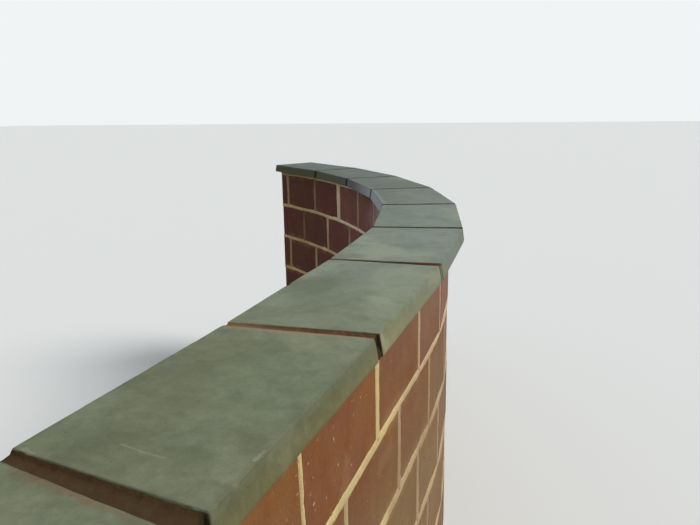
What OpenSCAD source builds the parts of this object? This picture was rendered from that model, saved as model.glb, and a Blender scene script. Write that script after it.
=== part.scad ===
// Low garden wall of large masonry units that runs straight and then turns in a curve,
// topped by flat coping slabs. Millimetres, +Z up.
// The origin is on the ground, on the centre line, where the straight run meets the curve.
// +X follows the straight run towards the curve, and the curve turns towards +Y.

/* [Plan] */
// Length of one bay along the centre line
bay_l = 1000; // [600:50:1400]
// Straight bays
straight_bays = 3; // [1:1:4]
// Curved bays
curved_bays = 3; // [1:1:4]
// How far the wall runs on straight past the straight bays before it starts to curve
curve_start = 50; // [0:10:300]
// Radius of the curve, to the centre line
curve_r = 3000; // [1800:25:8000]

/* [Masonry] */
// Thickness of the wall from face to face
wall_t = 200; // [150:5:300]
// Number of courses
courses = 6; // [2:1:10]
// Height of one unit
unit_h = 195; // [90:5:240]
// Bed joint between two courses
bed_joint = 15; // [8:1:25]
// Mortar bed under the first course
ground_bed = 8; // [5:1:20]

/* [Coping] */
// Thickness of a coping slab
slab_t = 42; // [30:1:80]
// Overhang of the slabs' top edges over each face of the wall
overhang = 40; // [20:1:60]
// How far the slabs' long edges lean out from top to bottom
batter = 5; // [1:0.5:10]
// Height of the upright foot below the lean
foot_h = 3; // [1:0.5:8]
// Slabs over each bay
slabs_per_bay = 2; // [1:1:3]
// Eased arris along the long top edges of a slab
arris = 3; // [2.5:0.5:6]
// Eased arris along the top edges at the joints
end_arris = 2; // [0.5:0.25:2.25]
// Mortar bed between the wall and the coping
coping_bed = 22; // [10:1:30]
// How far the coping bed is struck back from the wall's faces
bed_setback = 3; // [1:0.5:8]
// Width of the drip groove under each overhang
drip_w = 8; // [4:1:12]
// Depth of the drip groove
drip_d = 6; // [3:1:12]

/* [Coping joints] */
// How far the joint mortar lies below the top of the slabs
joint_recess = 8; // [3:1:20]
// How far the joint mortar lies behind the slabs' long edges
joint_setback = 6; // [2:1:15]

/* [Hidden] */
// Joints between slabs as they were laid, from the free end on: skew in degrees (outer end
// forward), mean width, how much wider the joint is at the outer edge than at the inner, and
// how far it strayed along the wall and sideways towards the inner side
laid_joints = [
    [1, 12, 2, -14, 2], [-1.5, 14, 4, -24, -2], [2, 16, 3, -39, 4],
    [-8.5, 29, 14, -48, 17], [3.3, 20, 9, -48, 0], [3.7, 17, 19, -29, -6],
    [3, 15, 3, -59, -7], [0.7, 15, 4, -65, -8], [-0.2, 12, 2, -62, -5],
    [0.6, 12, 2, -52, 0], [0.9, 11, 2, -46, 0]
];

slab_w = wall_t + 2 * overhang;
slab_count = (straight_bays + curved_bays) * slabs_per_bay;
slab_pitch = bay_l / slabs_per_bay;
wall_start = -straight_bays * bay_l - curve_start;
segments_start = -curve_start;
segments_per_bay = 2;
segment_l = bay_l / segments_per_bay;
segment_count = curved_bays * segments_per_bay;

masonry_h = ground_bed + courses * unit_h + (courses - 1) * bed_joint;
coping_z = masonry_h + coping_bed;
drip_in = (overhang + batter - drip_w) / 2;
arc_fn = 720;
cut = 1;

// What is cut away beyond a slab's end and beyond its long edge, in section: the distance
// out from the top edge, and the height
end_section = [
    [-end_arris - cut, slab_t + cut], [cut, slab_t + cut], [cut, slab_t - end_arris - cut]
];
lean = unit([batter, foot_h] - [0, slab_t - arris]);
edge_section = [
    [batter, foot_h] + lean * cut, [0, slab_t - arris], [-arris - cut, slab_t + cut],
    [batter + cut, slab_t + cut], [batter + cut, foot_h - cut]
];

function two_digits(i) = str(i < 10 ? "0" : "", i);
function bay_name(i) = str("wall_bay_", i);
function segment_name(i) = str("curve_segment_", i);
function bay_bed_name(i) = str("bay_bed_", i);
function segment_bed_name(i) = str("curve_bed_", i);
function slab_name(i) = str("coping_slab_", two_digits(i));
function joint_name(i) = str("coping_joint_", two_digits(i));

// Places along the wall: run is measured along the centre line from the origin, and side
// is the distance from the centre line, positive towards the inside of the curve
function turn_at(run) = run <= 0 ? 0 : run / curve_r * 180 / PI;
function place(run, side) =
    run <= 0
    ? [run, side]
    : let (turn = turn_at(run), r = curve_r - side) [r * sin(turn), curve_r - r * cos(turn)];
function ahead(run, distance) = distance * [cos(turn_at(run)), sin(turn_at(run))];

// Joint j lies before slab j + 1. Its far line is the start of that slab, and the coping's
// two ends are lines without a joint
function laid(j) =
    j < 1 || j >= slab_count ? [0, 0, 0, 0, 0] : laid_joints[(j - 1) % len(laid_joints)];
function joint_run(j) = wall_start + j * slab_pitch + laid(j)[3];
function joint_w(j, side) = laid(j)[1] - laid(j)[2] * side / slab_w;
function far_line(j, side) =
    place(joint_run(j), side + laid(j)[4]) - ahead(joint_run(j), side * tan(laid(j)[0]));
function near_line(j, side) = far_line(j, side) - ahead(joint_run(j), joint_w(j, side));

// Slab corners in plan, round from the outer near one: a rectangle on the straight run and a
// wedge on the curve. Each is slid along its joint until its long edge lies this far out
function unit(v) = v / norm(v);
function slid(corner, behind, beside, out_by) =
    let (out = unit(corner - behind)) corner + out * out_by / abs(cross(out, unit(beside - corner)));
function slab_corners(i, out_by) =
    let (
        half = slab_w / 2,
        c = [far_line(i - 1, -half), near_line(i, -half), near_line(i, half), far_line(i - 1, half)]
    )
    [for (k = [0:3]) slid(c[k], c[3 - k], c[k % 2 == 0 ? k + 1 : k - 1], out_by)];

// A length of the wall that follows its centre line from one place to another
module wall_run(from, length, width, height) {
    to = from + length;
    turn = turn_at(from);
    if (from < 0)
        translate([from, -width / 2, 0])
            cube([min(to, 0) - from, width, height]);
    if (to > 0)
        translate([0, curve_r, 0])
            rotate([0, 0, turn - 90])
                rotate_extrude(angle = turn_at(to) - turn, $fn = arc_fn)
                    translate([curve_r - width / 2, 0])
                        square([width, height]);
}

// Masonry of one straight bay
module wall_bay(i) {
    color("indianred")
        wall_run(wall_start + (i - 1) * bay_l, bay_l, wall_t, masonry_h);
}

// Masonry of one segment of the curve
module curve_segment(i) {
    color("brown")
        wall_run(segments_start + (i - 1) * segment_l, segment_l, wall_t, masonry_h);
}

// Mortar that the coping of a straight bay is laid in
module bay_bed(i) {
    color("khaki")
        translate([0, 0, masonry_h])
            wall_run(wall_start + (i - 1) * bay_l, bay_l, wall_t - 2 * bed_setback, coping_bed);
}

// Mortar that the coping of a curve segment is laid in
module curve_bed(i) {
    color("khaki")
        translate([0, 0, masonry_h])
            wall_run(segments_start + (i - 1) * segment_l, segment_l, wall_t - 2 * bed_setback, coping_bed);
}

// Drip groove under a slab, along the long edge between two of its corners
module drip_groove(i, near, far) {
    lip = slab_corners(i, batter - drip_in);
    back = slab_corners(i, batter - drip_in - drip_w);
    past = unit(lip[far] - lip[near]) * slab_w / 4;
    translate([0, 0, -cut])
        linear_extrude(drip_d + cut)
            polygon([lip[near] - past, lip[far] + past, back[far] + past, back[near] - past]);
}

// Takes away what lies beyond the edge from one corner of a slab to the next
module beyond_edge(from, to, section) {
    along = to - from;
    past = slab_w / 4;
    translate(from - unit(along) * past)
        rotate([90, 0, atan2(along[1], along[0]) + 90])
            linear_extrude(norm(along) + 2 * past)
                polygon([for (p = section) [-p[0], p[1]]]);
}

// Coping slab with leaning long edges, eased top edges and a drip groove under each overhang
module coping_slab(i) {
    corners = slab_corners(i, 0);
    color("darkseagreen")
        translate([0, 0, coping_z])
            difference() {
                linear_extrude(slab_t)
                    polygon(slab_corners(i, batter));
                beyond_edge(corners[0], corners[1], edge_section);
                beyond_edge(corners[1], corners[2], end_section);
                beyond_edge(corners[2], corners[3], edge_section);
                beyond_edge(corners[3], corners[0], end_section);
                drip_groove(i, 0, 1);
                drip_groove(i, 3, 2);
            }
}

// Mortar between two slabs, struck back from their top and long edges
module coping_joint(j) {
    outer = -slab_w / 2 + joint_setback;
    inner = slab_w / 2 - joint_setback;
    color("saddlebrown")
        translate([0, 0, coping_z])
            linear_extrude(slab_t - joint_recess)
                polygon([near_line(j, outer), far_line(j, outer), far_line(j, inner), near_line(j, inner)]);
}

for (i = [1:straight_bays]) {
    wall_bay(i);
    bay_bed(i);
}
for (i = [1:segment_count]) {
    curve_segment(i);
    curve_bed(i);
}
for (i = [1:slab_count]) {
    coping_slab(i);
}
for (j = [1:slab_count - 1]) {
    coping_joint(j);
}
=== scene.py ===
"""Finish of a low curved garden wall: clay units, mortar, coping slabs and their joints."""
import math
import random
from typing import NamedTuple

import bpy
import numpy as np
from mathutils import Matrix, Vector, noise


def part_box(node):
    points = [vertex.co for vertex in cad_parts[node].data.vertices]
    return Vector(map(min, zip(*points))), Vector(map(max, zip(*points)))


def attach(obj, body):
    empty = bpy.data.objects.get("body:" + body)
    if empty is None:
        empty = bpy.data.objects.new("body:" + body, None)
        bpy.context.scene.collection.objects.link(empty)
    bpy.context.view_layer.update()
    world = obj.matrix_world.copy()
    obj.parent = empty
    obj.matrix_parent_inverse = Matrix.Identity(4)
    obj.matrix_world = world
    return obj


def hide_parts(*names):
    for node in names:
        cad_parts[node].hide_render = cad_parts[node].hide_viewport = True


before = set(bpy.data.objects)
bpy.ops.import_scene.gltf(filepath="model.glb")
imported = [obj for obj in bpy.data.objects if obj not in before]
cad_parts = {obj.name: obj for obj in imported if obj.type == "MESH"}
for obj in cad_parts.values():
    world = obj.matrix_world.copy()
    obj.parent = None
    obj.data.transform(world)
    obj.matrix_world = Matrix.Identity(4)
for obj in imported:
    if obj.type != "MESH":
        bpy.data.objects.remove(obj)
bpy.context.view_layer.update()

bl_info = {
    "name": "Curved garden wall",
    "version": (1, 0, 0),
    "blender": (4, 5, 0),
    "location": "3D View > Sidebar > Garden wall",
    "description": "Dresses a low curved wall of large clay units with its mortar and coping slabs",
    "category": "Add Mesh",
}

BODY = "root"
BAY_LOW, BAY_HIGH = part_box("wall_bay_1")
SLAB_LOW, SLAB_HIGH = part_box("coping_slab_01")


def nodes_named(start):
    """Names of the model's nodes that begin with these words, in order."""
    names = [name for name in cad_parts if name.startswith(start)]
    return sorted(names, key=lambda name: int(name.split("_")[-1]))


STRAIGHT_BAYS = nodes_named("wall_bay_")
SEGMENTS = nodes_named("curve_segment_")
BAY_L = BAY_HIGH.x - BAY_LOW.x
WALL_T = BAY_HIGH.y - BAY_LOW.y
START = BAY_LOW.x
SEGMENTS_PER_BAY = 2
SEGMENTS_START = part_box(STRAIGHT_BAYS[-1])[1].x
END = SEGMENTS_START + len(SEGMENTS) / SEGMENTS_PER_BAY * BAY_L


class Joint(NamedTuple):
    """An upright joint. Its run is its place along the centre line, negative on the straight.

    Dirt says how dirty its mortar is, lean how far it leans forward from bottom to top, and
    flare how much wider it is at the top than at the bottom.
    """

    run: float
    width: float
    dirt: float = 0.3
    lean: float = 0.0
    flare: float = 0.0


# Upright joints as they were laid, in courses 1, 3 and 5 from the top and then in 2, 4 and 6.
# Before the first of them they follow at the pitch of the straight run
LAID_ODD = tuple(Joint(*row) for row in (
    (-0.848, 0.010, 0.0, -0.011, 0.005), (-0.475, 0.019, 0.0, -0.002, 0.003), (-0.11, 0.013, 0.3),
    (0.175, 0.015, 0.3), (0.509, 0.016, 0.2), (0.843, 0.015, 0.4), (1.178, 0.017, 0.2),
    (1.512, 0.017, 0.7), (1.83, 0.019, 0.85), (2.161, 0.044, 0.05, 0.004, 0.004),
    (2.511, 0.018, 1.0), (2.873, 0.019, 0.7),
))
LAID_EVEN = tuple(Joint(*row) for row in (
    (-0.665, 0.015, 0.45), (-0.304, 0.019, 0.4), (0.017, 0.014, 0.5), (0.31, 0.015, 0.4),
    (0.645, 0.017, 0.2), (0.981, 0.016, 0.3), (1.316, 0.015, 0.3), (1.652, 0.016, 0.4),
    (1.987, 0.017, 0.85), (2.333, 0.020, 0.35), (2.672, 0.014, 1.6, 0.003),
))
# Seeds of the random draws
JOINT_SEED, UNIT_SEED, SPLASH_SEED, SLAB_SEED = 11, 23, 5, 7
# Courses from the top whose joints are laid exactly so. The lower ones stray from them by chance
COURSES_AS_LAID = 2
STRAYED_WIDTH = (0.95, 1.3)
STRAYED_DIRT = (0.2, 0.8)
# The shortest unit at the free end, as a share of the pitch
SHORTEST_UNIT = 0.25

# The largest mortar splashes: run, height and size in metres, first on the outside of the wall
# and then on the inside
SPLASHES = (
    (-0.721, 1.183, 0.0040), (-0.639, 1.093, 0.0042), (-0.703, 1.129, 0.0034),
    (-0.825, 1.199, 0.0030), (-0.758, 1.104, 0.0030), (-0.810, 1.125, 0.0042),
    (-0.809, 1.168, 0.0022), (-0.853, 1.240, 0.0044), (-0.861, 1.222, 0.0034),
    (-0.868, 1.205, 0.0026), (-0.867, 1.176, 0.0040), (-0.546, 1.180, 0.0024),
    (-0.581, 1.191, 0.0026), (-0.628, 1.205, 0.0018), (-0.485, 1.052, 0.0036),
    (-0.690, 1.060, 0.0026),
)
SPLASHES_INSIDE = (
    (2.818, 1.121, 0.0050), (2.808, 1.138, 0.0034), (1.966, 1.196, 0.0050),
    (1.968, 1.163, 0.0044), (1.962, 1.140, 0.0026),
)

# Places where a joint between two slabs was filled up further: run, side and reach in metres
FILLED = ((-0.610, 0.130, 0.160), (-0.085, -0.150, 0.045))


def length_property(name, description, default):
    """A length in metres."""
    return bpy.props.FloatProperty(
        name=name, description=description, default=default, unit="LENGTH")


def angle_property(name, description, degrees):
    """An angle that is given in degrees."""
    return bpy.props.FloatProperty(
        name=name, description=description, default=math.radians(degrees), subtype="ANGLE")


def linear(srgb):
    """Linear values of a colour that is given from 0 to 255."""
    values = (value / 255 for value in srgb)
    return tuple(v / 12.92 if v <= 0.04045 else ((v + 0.055) / 1.055) ** 2.4 for v in values)


def colour_property(name, description, srgb):
    """A colour that is given as it shows on a screen, from 0 to 255."""
    return bpy.props.FloatVectorProperty(
        name=name, description=description, subtype="COLOR", size=3, min=0, max=1,
        default=linear(srgb))


class WallSizes(bpy.types.PropertyGroup):
    """Sizes of the masonry."""

    curve_radius: length_property("Curve radius", "Radius of the curve, to the centre line", 3.0)
    courses: bpy.props.IntProperty(name="Courses", description="Number of courses", default=6)
    unit_height: length_property("Unit height", "Height of one clay unit", 0.195)
    unit_arris: length_property("Unit arris", "Radius of the edges of a clay unit", 0.003)
    unit_bulge: length_property("Unit bulge", "How far a unit's face swells and dips", 0.0014)
    unevenness: length_property(
        "Unevenness", "How far one unit stands before or behind the next", 0.0006)
    bed_joint: length_property("Bed joint", "Height of the mortar between two courses", 0.015)
    ground_bed: length_property("Ground bed", "Height of the mortar under the first course", 0.008)
    upright_joint: length_property(
        "Upright joint", "Width of the mortar between two units of a course", 0.017)
    straight_pitch: length_property(
        "Pitch on the straight", "From one upright joint to the next on the straight run", 0.3665)
    laying_error: length_property(
        "Laying error", "How far an upright joint strays from its place", 0.008)
    splashes: bpy.props.IntProperty(
        name="Splashes", description="Number of small mortar splashes on the units", default=700)


class MortarSizes(bpy.types.PropertyGroup):
    """How the mortar was laid in the joints between the units."""

    lap: length_property("Lap", "How far a strip of mortar reaches behind the units' edges", 0.013)
    spread: length_property("Spread", "How far the edges of a joint come and go", 0.003)
    fray: length_property("Fray", "How ragged the edges of a joint are", 0.009)
    generous: length_property(
        "Generous bed", "How much further the outside beds spread below the coping", 0.0042)
    smeared_bed: length_property(
        "Smeared bed", "How much further the lower outside beds spread on the curve", 0.0058)
    smeared_upright: length_property(
        "Smeared upright", "The same, for the upright joints of every course", 0.0040)
    inside_spread: length_property(
        "Inside spread", "How much further the joints spread on the inside", 0.001)
    least_half: length_property("Least half width", "The least that a joint shows, halved", 0.002)
    proud: length_property("Proud", "How far the mortar stands before the units", 0.0018)
    lumps: length_property("Lumps", "Height of the lumps in the mortar", 0.0035)
    dish: length_property("Dish", "How far the mortar falls back towards its edges", 0.0012)


class CopingSizes(bpy.types.PropertyGroup):
    """Sizes of what the slabs and their joints show beyond their plan."""

    arris: length_property("Arris", "Radius of the slabs' worn edges", 0.003)
    batter: length_property("Batter", "How far the long edges lean out from top to bottom", 0.005)
    foot: length_property("Foot", "Height of the upright foot below the lean", 0.003)
    corner: length_property("Corner", "Radius of a slab's far corners in plan, at the top", 0.007)
    corner_near: length_property(
        "Near corner", "Radius of a slab's near corners in plan, at the top", 0.0026)
    corner_foot: length_property(
        "Corner foot", "Radius of a slab's corners in plan, at the bottom", 0.002)
    chip: length_property("Chips", "Depth of the chips in the slabs' edges", 0.007)
    wave: length_property("Wave", "Height of the trowel waves in the slabs' faces", 0.0006)
    drip_from: length_property("Drip groove", "From a slab's foot to its drip groove", 0.0185)
    drip_width: length_property("Drip width", "Width of the drip groove", 0.008)
    drip_depth: length_property("Drip depth", "Depth of the drip groove", 0.006)
    joint_depth: length_property(
        "Joint depth", "How far the joint mortar lies below the top of the slabs", 0.008)
    joint_cover: length_property(
        "Joint cover", "How far it stays below the top even where it is full", 0.0008)
    joint_crown: length_property(
        "Joint crown", "How much higher the joint mortar lies along the slabs", 0.003)
    joint_sag: length_property(
        "Joint sag", "How far it falls back from there in the middle", 0.0025)
    joint_roughness: length_property(
        "Joint roughness", "Height of the lumps in the mortar between two slabs", 0.003)
    joint_climb: length_property(
        "Joint climb", "How far the joint mortar climbs up the far slab", 0.0025)
    joint_fill: length_property(
        "Joint fill", "How much higher the joint mortar lies where it was filled up", 0.0035)
    joint_swell: length_property(
        "Joint swell", "How far the joint mortar swells out at the foot of the slabs", 0.008)
    joint_flush: length_property(
        "Joint flush", "How far filled mortar swells out at the top of the outer edge", 0.006)
    joint_flush_foot: length_property(
        "Flush foot", "How much further it swells out at the bottom", 0.004)


class WallColours(bpy.types.PropertyGroup):
    """Colours of the wall."""

    clay: colour_property("Clay", "Units on the outside of the curve", (122, 78, 44))
    # Painted light: a pale, greyish haze of the bright light beyond, over the outside units further
    # along and higher up; it is no dust
    clay_light_haze: colour_property("Hazy clay", "Dust on the outside of the curve", (138, 118, 106))
    # Partly painted shade: the inside units are painted darker than the outside ones for the shade
    # inside the curve; the rest is a darker, more maroon clay
    clay_inside_shaded: colour_property("Clay inside", "Units on the inside of the curve", (92, 50, 40))
    # Painted light: the inside units nearer the straight run are painted paler and more mauve, for
    # the brighter light that reaches them
    clay_inside_lit: colour_property(
        "Paler clay inside", "The same, nearer the straight run", (113, 67, 58))
    clay_limed: colour_property("Limed clay", "Lime on the inside of the curve", (176, 160, 164))
    clay_lower_courses: colour_property("Lower courses clay", "Units of the lower courses", (124, 97, 67))
    film: colour_property("Mortar film", "Thin mortar washed over the units", (172, 142, 108))
    mortar: colour_property("Mortar", "Joints between the units", (208, 187, 131))
    mortar_rosy: colour_property("Rosy mortar", "Joints outside, on the curve", (184, 163, 134))
    mortar_inside: colour_property("Mortar inside", "Joints inside the curve", (208, 186, 128))
    # Painted light: the inside mortar nearer the straight run is painted paler and pinker, for the
    # brighter light that reaches it, as the inside clay there
    mortar_inside_lit: colour_property(
        "Pink mortar inside", "The same, nearer the straight run", (236, 216, 186))
    mortar_dirty: colour_property(
        "Dirty mortar", "Joints that are rubbed with dust", (150, 118, 90))
    splash: colour_property("Splashes", "Dried drops of mortar on the units", (186, 138, 104))
    concrete: colour_property("Concrete", "Slabs where the wall is straight", (115, 120, 96))
    # Painted light: the slabs on the curve are painted paler and cooler than the straight ones, for
    # the bright light beyond that falls on them
    concrete_lit_curve: colour_property("Lit concrete", "Slabs on the curve", (127, 137, 129))
    concrete_teal: colour_property(
        "Green concrete", "Greener patches of the slabs", (103, 120, 103))
    concrete_far: colour_property("Sooty concrete", "Slabs towards the far end", (99, 106, 109))
    concrete_dark: colour_property("Damp concrete", "Darker patches of the slabs", (94, 98, 79))
    concrete_pale: colour_property(
        "Pale concrete", "Rubbed places and arrises of the slabs", (144, 146, 122))
    # The slabs on the curve are paler by painted light; these patches are paler still
    concrete_worn: colour_property(
        "Worn concrete", "Paler patches of the washed slabs", (152, 158, 139))
    concrete_edge: colour_property("Edge concrete", "Long edges of the slabs", (95, 95, 69))
    concrete_foot: colour_property(
        "Mossy concrete", "Foot of the slabs' long edges", (104, 101, 68))
    edge_chalky: colour_property(
        "Chalky edge", "Long edge of the slab beyond the second joint", (146, 142, 104))
    # Painted shade: the inner long edges are painted a cooler, bluish colour for the shade inside
    # the curve
    edge_shade: colour_property(
        "Edge inside", "Long edges on the inside of the curve", (92, 98, 100))
    # Painted shade: the same, darker and more olive towards the far end
    edge_shade_far: colour_property("Far edge inside", "The same, towards the far end", (81, 85, 57))
    concrete_joint: colour_property(
        "Joint face", "Faces of the straight slabs inside a joint", (121, 112, 79))
    concrete_joint_dark: colour_property("Dark joint face", "The same, on the curve", (92, 77, 58))
    concrete_red: colour_property(
        "Red joint face", "The same, where reddish mortar was rubbed in", (122, 88, 60))
    # Painted shade and dirt: a dark line beside the joints of the curve, for the shade in the
    # joints
    shade_and_grime: colour_property("Shade and grime", "Dark line beside the joints of the curve", (54, 52, 42))
    joint: colour_property("Joint mortar", "Mortar between the slabs", (73, 55, 35))
    joint_red: colour_property(
        "Reddish joint mortar", "Joint mortar with brick dust in it", (106, 76, 50))
    joint_olive: colour_property(
        "Olive joint mortar", "Joint mortar with a green bloom", (67, 58, 33))
    joint_filled: colour_property(
        "Filled joint", "Joint mortar that was filled up to the slabs", (118, 96, 69))
    joint_flush: colour_property(
        "Flush joint", "The same, at the slabs' outer edge", (112, 112, 98))
    smear: colour_property("Smear", "Mortar rubbed into the slabs beside a joint", (146, 120, 92))
    smear_brown: colour_property("Brown smear", "The same, beside the widest joint", (118, 94, 70))
    bloom: colour_property("Lime bloom", "Bluish lime on a slab's edge", (178, 184, 192))
    floor: colour_property("Floor", "Floor that the wall stands on", (226, 228, 228))


class CameraPlace(bpy.types.PropertyGroup):
    """Where the picture is taken from."""

    along: length_property("Along", "Place along the straight run", -1.597)
    outward: length_property("Outward", "Distance from the centre line, on the outside", 0.428)
    above: length_property("Above", "Height over the coping", 0.3716)
    heading: angle_property("Heading", "Turned to the left of the straight run", 18.636)
    pitch: angle_property("Pitch", "Turned down", 13.397)
    roll: angle_property("Roll", "Turned about the line of sight", -0.903)
    lens: bpy.props.FloatProperty(
        name="Lens", description="Focal length in millimetres", default=33.913)


# Kinds of sockets
FLOAT, VECTOR = "NodeSocketFloat", "NodeSocketVector"
GEOMETRY, MATERIAL = "NodeSocketGeometry", "NodeSocketMaterial"


class Nodes:
    """Adds nodes to one tree, and links or sets their inputs as they are made."""

    def __init__(self, tree):
        self.tree = tree

    def link(self, node, values):
        """Feeds sockets to the inputs of these names, and sets the inputs of plain values."""
        for key, value in values.items():
            if isinstance(value, bpy.types.NodeSocket):
                self.tree.links.new(value, node.inputs[key])
            else:
                node.inputs[key].default_value = value

    def add(self, kind, inputs=None, **fields):
        """A new node with these inputs and fields."""
        node = self.tree.nodes.new(kind)
        for field, value in fields.items():
            setattr(node, field, value)
        self.link(node, inputs or {})
        return node

    def math(self, operation, *values, clamp=False):
        inputs = dict(enumerate(values))
        return self.add("ShaderNodeMath", inputs, operation=operation, use_clamp=clamp).outputs[0]

    def chain(self, operation, first, others):
        """Numbers that are put together one by one, from left to right."""
        for other in others:
            first = self.math(operation, first, other)
        return first

    def times(self, first, *others):
        return self.chain("MULTIPLY", first, others)

    def plus(self, first, *others):
        return self.chain("ADD", first, others)

    def minus(self, first, *others):
        return self.chain("SUBTRACT", first, others)

    def over(self, a, b):
        return self.math("DIVIDE", a, b)

    def vector(self, operation, *values):
        inputs = dict(enumerate(values))
        return self.add("ShaderNodeVectorMath", inputs, operation=operation).outputs["Vector"]

    def dot(self, a, b):
        inputs = {0: a, 1: b}
        return self.add("ShaderNodeVectorMath", inputs, operation="DOT_PRODUCT").outputs["Value"]

    def scaled(self, vector, factor):
        inputs = {"Vector": vector, "Scale": factor}
        return self.add("ShaderNodeVectorMath", inputs, operation="SCALE").outputs[0]

    def mix(self, factor, a, b):
        """A number between a and b."""
        return self.add("ShaderNodeMix", {0: factor, 2: a, 3: b}, data_type="FLOAT").outputs[0]

    def blend(self, factor, a, b):
        """A colour between a and b."""
        a, b = (c if isinstance(c, bpy.types.NodeSocket) else (*c, 1.0) for c in (a, b))
        return self.add("ShaderNodeMix", {0: factor, 6: a, 7: b}, data_type="RGBA").outputs[2]

    def coated(self, colour, *coats):
        """The colour under coats of paint. Each is a mask and its own colour."""
        for mask, tint in coats:
            colour = self.blend(mask, colour, tint)
        return colour

    def split(self, vector):
        return self.add("ShaderNodeSeparateXYZ", {0: vector}).outputs

    def join(self, x, y, z):
        return self.add("ShaderNodeCombineXYZ", {0: x, 1: y, 2: z}).outputs[0]

    def noise(self, vector, scale, detail=2.0, roughness=0.5, distortion=0.0):
        inputs = {"Vector": vector, "Scale": scale, "Detail": detail, "Roughness": roughness,
                  "Distortion": distortion}
        return self.add("ShaderNodeTexNoise", inputs).outputs["Fac"]

    def ramp(self, value, low, high, to_low=0.0, to_high=1.0):
        """A number that goes smoothly from to_low to to_high as value goes from low to high."""
        inputs = {"Value": value, 1: low, 2: high, 3: to_low, 4: to_high}
        return self.add("ShaderNodeMapRange", inputs, interpolation_type="SMOOTHSTEP").outputs[0]


def new_group(name, kind, inputs, outputs):
    """An empty node group: its Nodes, its input sockets and its output node.

    Each input is given by its default, or by the kind of its socket where it has none.
    """
    tree = bpy.data.node_groups.new(name, kind)
    for label, default in inputs.items():
        plain = isinstance(default, str)
        socket = default if plain else VECTOR if isinstance(default, tuple) else FLOAT
        made = tree.interface.new_socket(label, in_out="INPUT", socket_type=socket)
        if not plain:
            made.default_value = default
    for label, socket in outputs.items():
        tree.interface.new_socket(label, in_out="OUTPUT", socket_type=socket)
    nodes = Nodes(tree)
    return nodes, nodes.add("NodeGroupInput").outputs, nodes.add("NodeGroupOutput")


def shared(name, build):
    """A node group that is made once and shared."""
    return bpy.data.node_groups.get(name) or build(name)


def bend_group(name):
    """Node group that turns a place along and beside the centre line into a point in space."""
    nodes, given, out = new_group(
        name, "GeometryNodeTree", {"Run": 0.0, "Side": 0.0, "Height": 0.0, "Curve radius": 3.0},
        {"Place": VECTOR})
    run, radius = given["Run"], given["Curve radius"]
    turn = nodes.over(nodes.math("MAXIMUM", run, 0.0), radius)
    reach = nodes.minus(radius, given["Side"])
    x = nodes.plus(nodes.math("MINIMUM", run, 0.0), nodes.times(reach, nodes.math("SINE", turn)))
    y = nodes.minus(radius, nodes.times(reach, nodes.math("COSINE", turn)))
    nodes.link(out, {"Place": nodes.join(x, y, given["Height"])})
    return nodes.tree


def bent(nodes, given, run, side, height):
    """The point in space of a place along and beside the centre line."""
    inputs = {"Run": run, "Side": side, "Height": height, "Curve radius": given["Curve radius"]}
    tree = shared("Bend along the wall", bend_group)
    return nodes.add("GeometryNodeGroup", inputs, node_tree=tree).outputs["Place"]


def named(nodes, name, kind="FLOAT"):
    """A stored attribute, read inside a geometry tree."""
    return nodes.add("GeometryNodeInputNamedAttribute", {"Name": name}, data_type=kind).outputs[0]


def stored(nodes, geometry, name, value, kind="FLOAT"):
    """The geometry with one more attribute on its points."""
    inputs = {"Geometry": geometry, "Name": name, "Value": value}
    fields = {"data_type": kind, "domain": "POINT"}
    return nodes.add("GeometryNodeStoreNamedAttribute", inputs, **fields).outputs[0]


def with_local(nodes, shape):
    """The shape, whose points remember their place in it as local."""
    position = nodes.add("GeometryNodeInputPosition").outputs[0]
    return stored(nodes, shape, "local", position, "FLOAT_VECTOR")


def block(nodes, along, up):
    """A cube of size 1 with this many points along and up."""
    inputs = {"Size": (1, 1, 1), "Vertices X": along, "Vertices Y": 2, "Vertices Z": up}
    return with_local(nodes, nodes.add("GeometryNodeMeshCube", inputs).outputs["Mesh"])


def set_out(nodes, points, shape, chosen=True):
    """A copy of the shape on each chosen point of the layout."""
    inputs = {"Points": points, "Selection": chosen, "Instance": shape}
    return nodes.add("GeometryNodeInstanceOnPoints", inputs).outputs[0]


def realized(nodes, copies):
    """The copies as plain geometry."""
    return nodes.add("GeometryNodeRealizeInstances", {0: copies}).outputs[0]


def completed(nodes, given, out, solid, position):
    """Moves the points of a solid, gives it the tree's material and puts it out."""
    moved = nodes.add("GeometryNodeSetPosition", {"Geometry": solid, "Position": position})
    inputs = {"Geometry": moved.outputs[0], "Material": given["Material"]}
    nodes.link(out, {"Geometry": nodes.add("GeometryNodeSetMaterial", inputs).outputs[0]})
    return nodes.tree


def points_object(name, rows):
    """A mesh of loose points. Each row is a dictionary of the numbers that its point carries."""
    mesh = bpy.data.meshes.new(name)
    mesh.from_pydata([row.get("centre", (0, 0, 0)) for row in rows], [], [])
    for key, first in rows[0].items():
        is_vector = isinstance(first, tuple)
        kind, field = ("FLOAT_VECTOR", "vector") if is_vector else ("FLOAT", "value")
        values = np.array([row[key] for row in rows], dtype=np.float32)
        mesh.attributes.new(key, kind, "POINT").data.foreach_set(field, values.ravel())
    return linked(name, mesh)


def linked(name, mesh):
    """A new object in the scene."""
    made = bpy.data.objects.new(name, mesh)
    bpy.context.scene.collection.objects.link(made)
    return made


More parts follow.
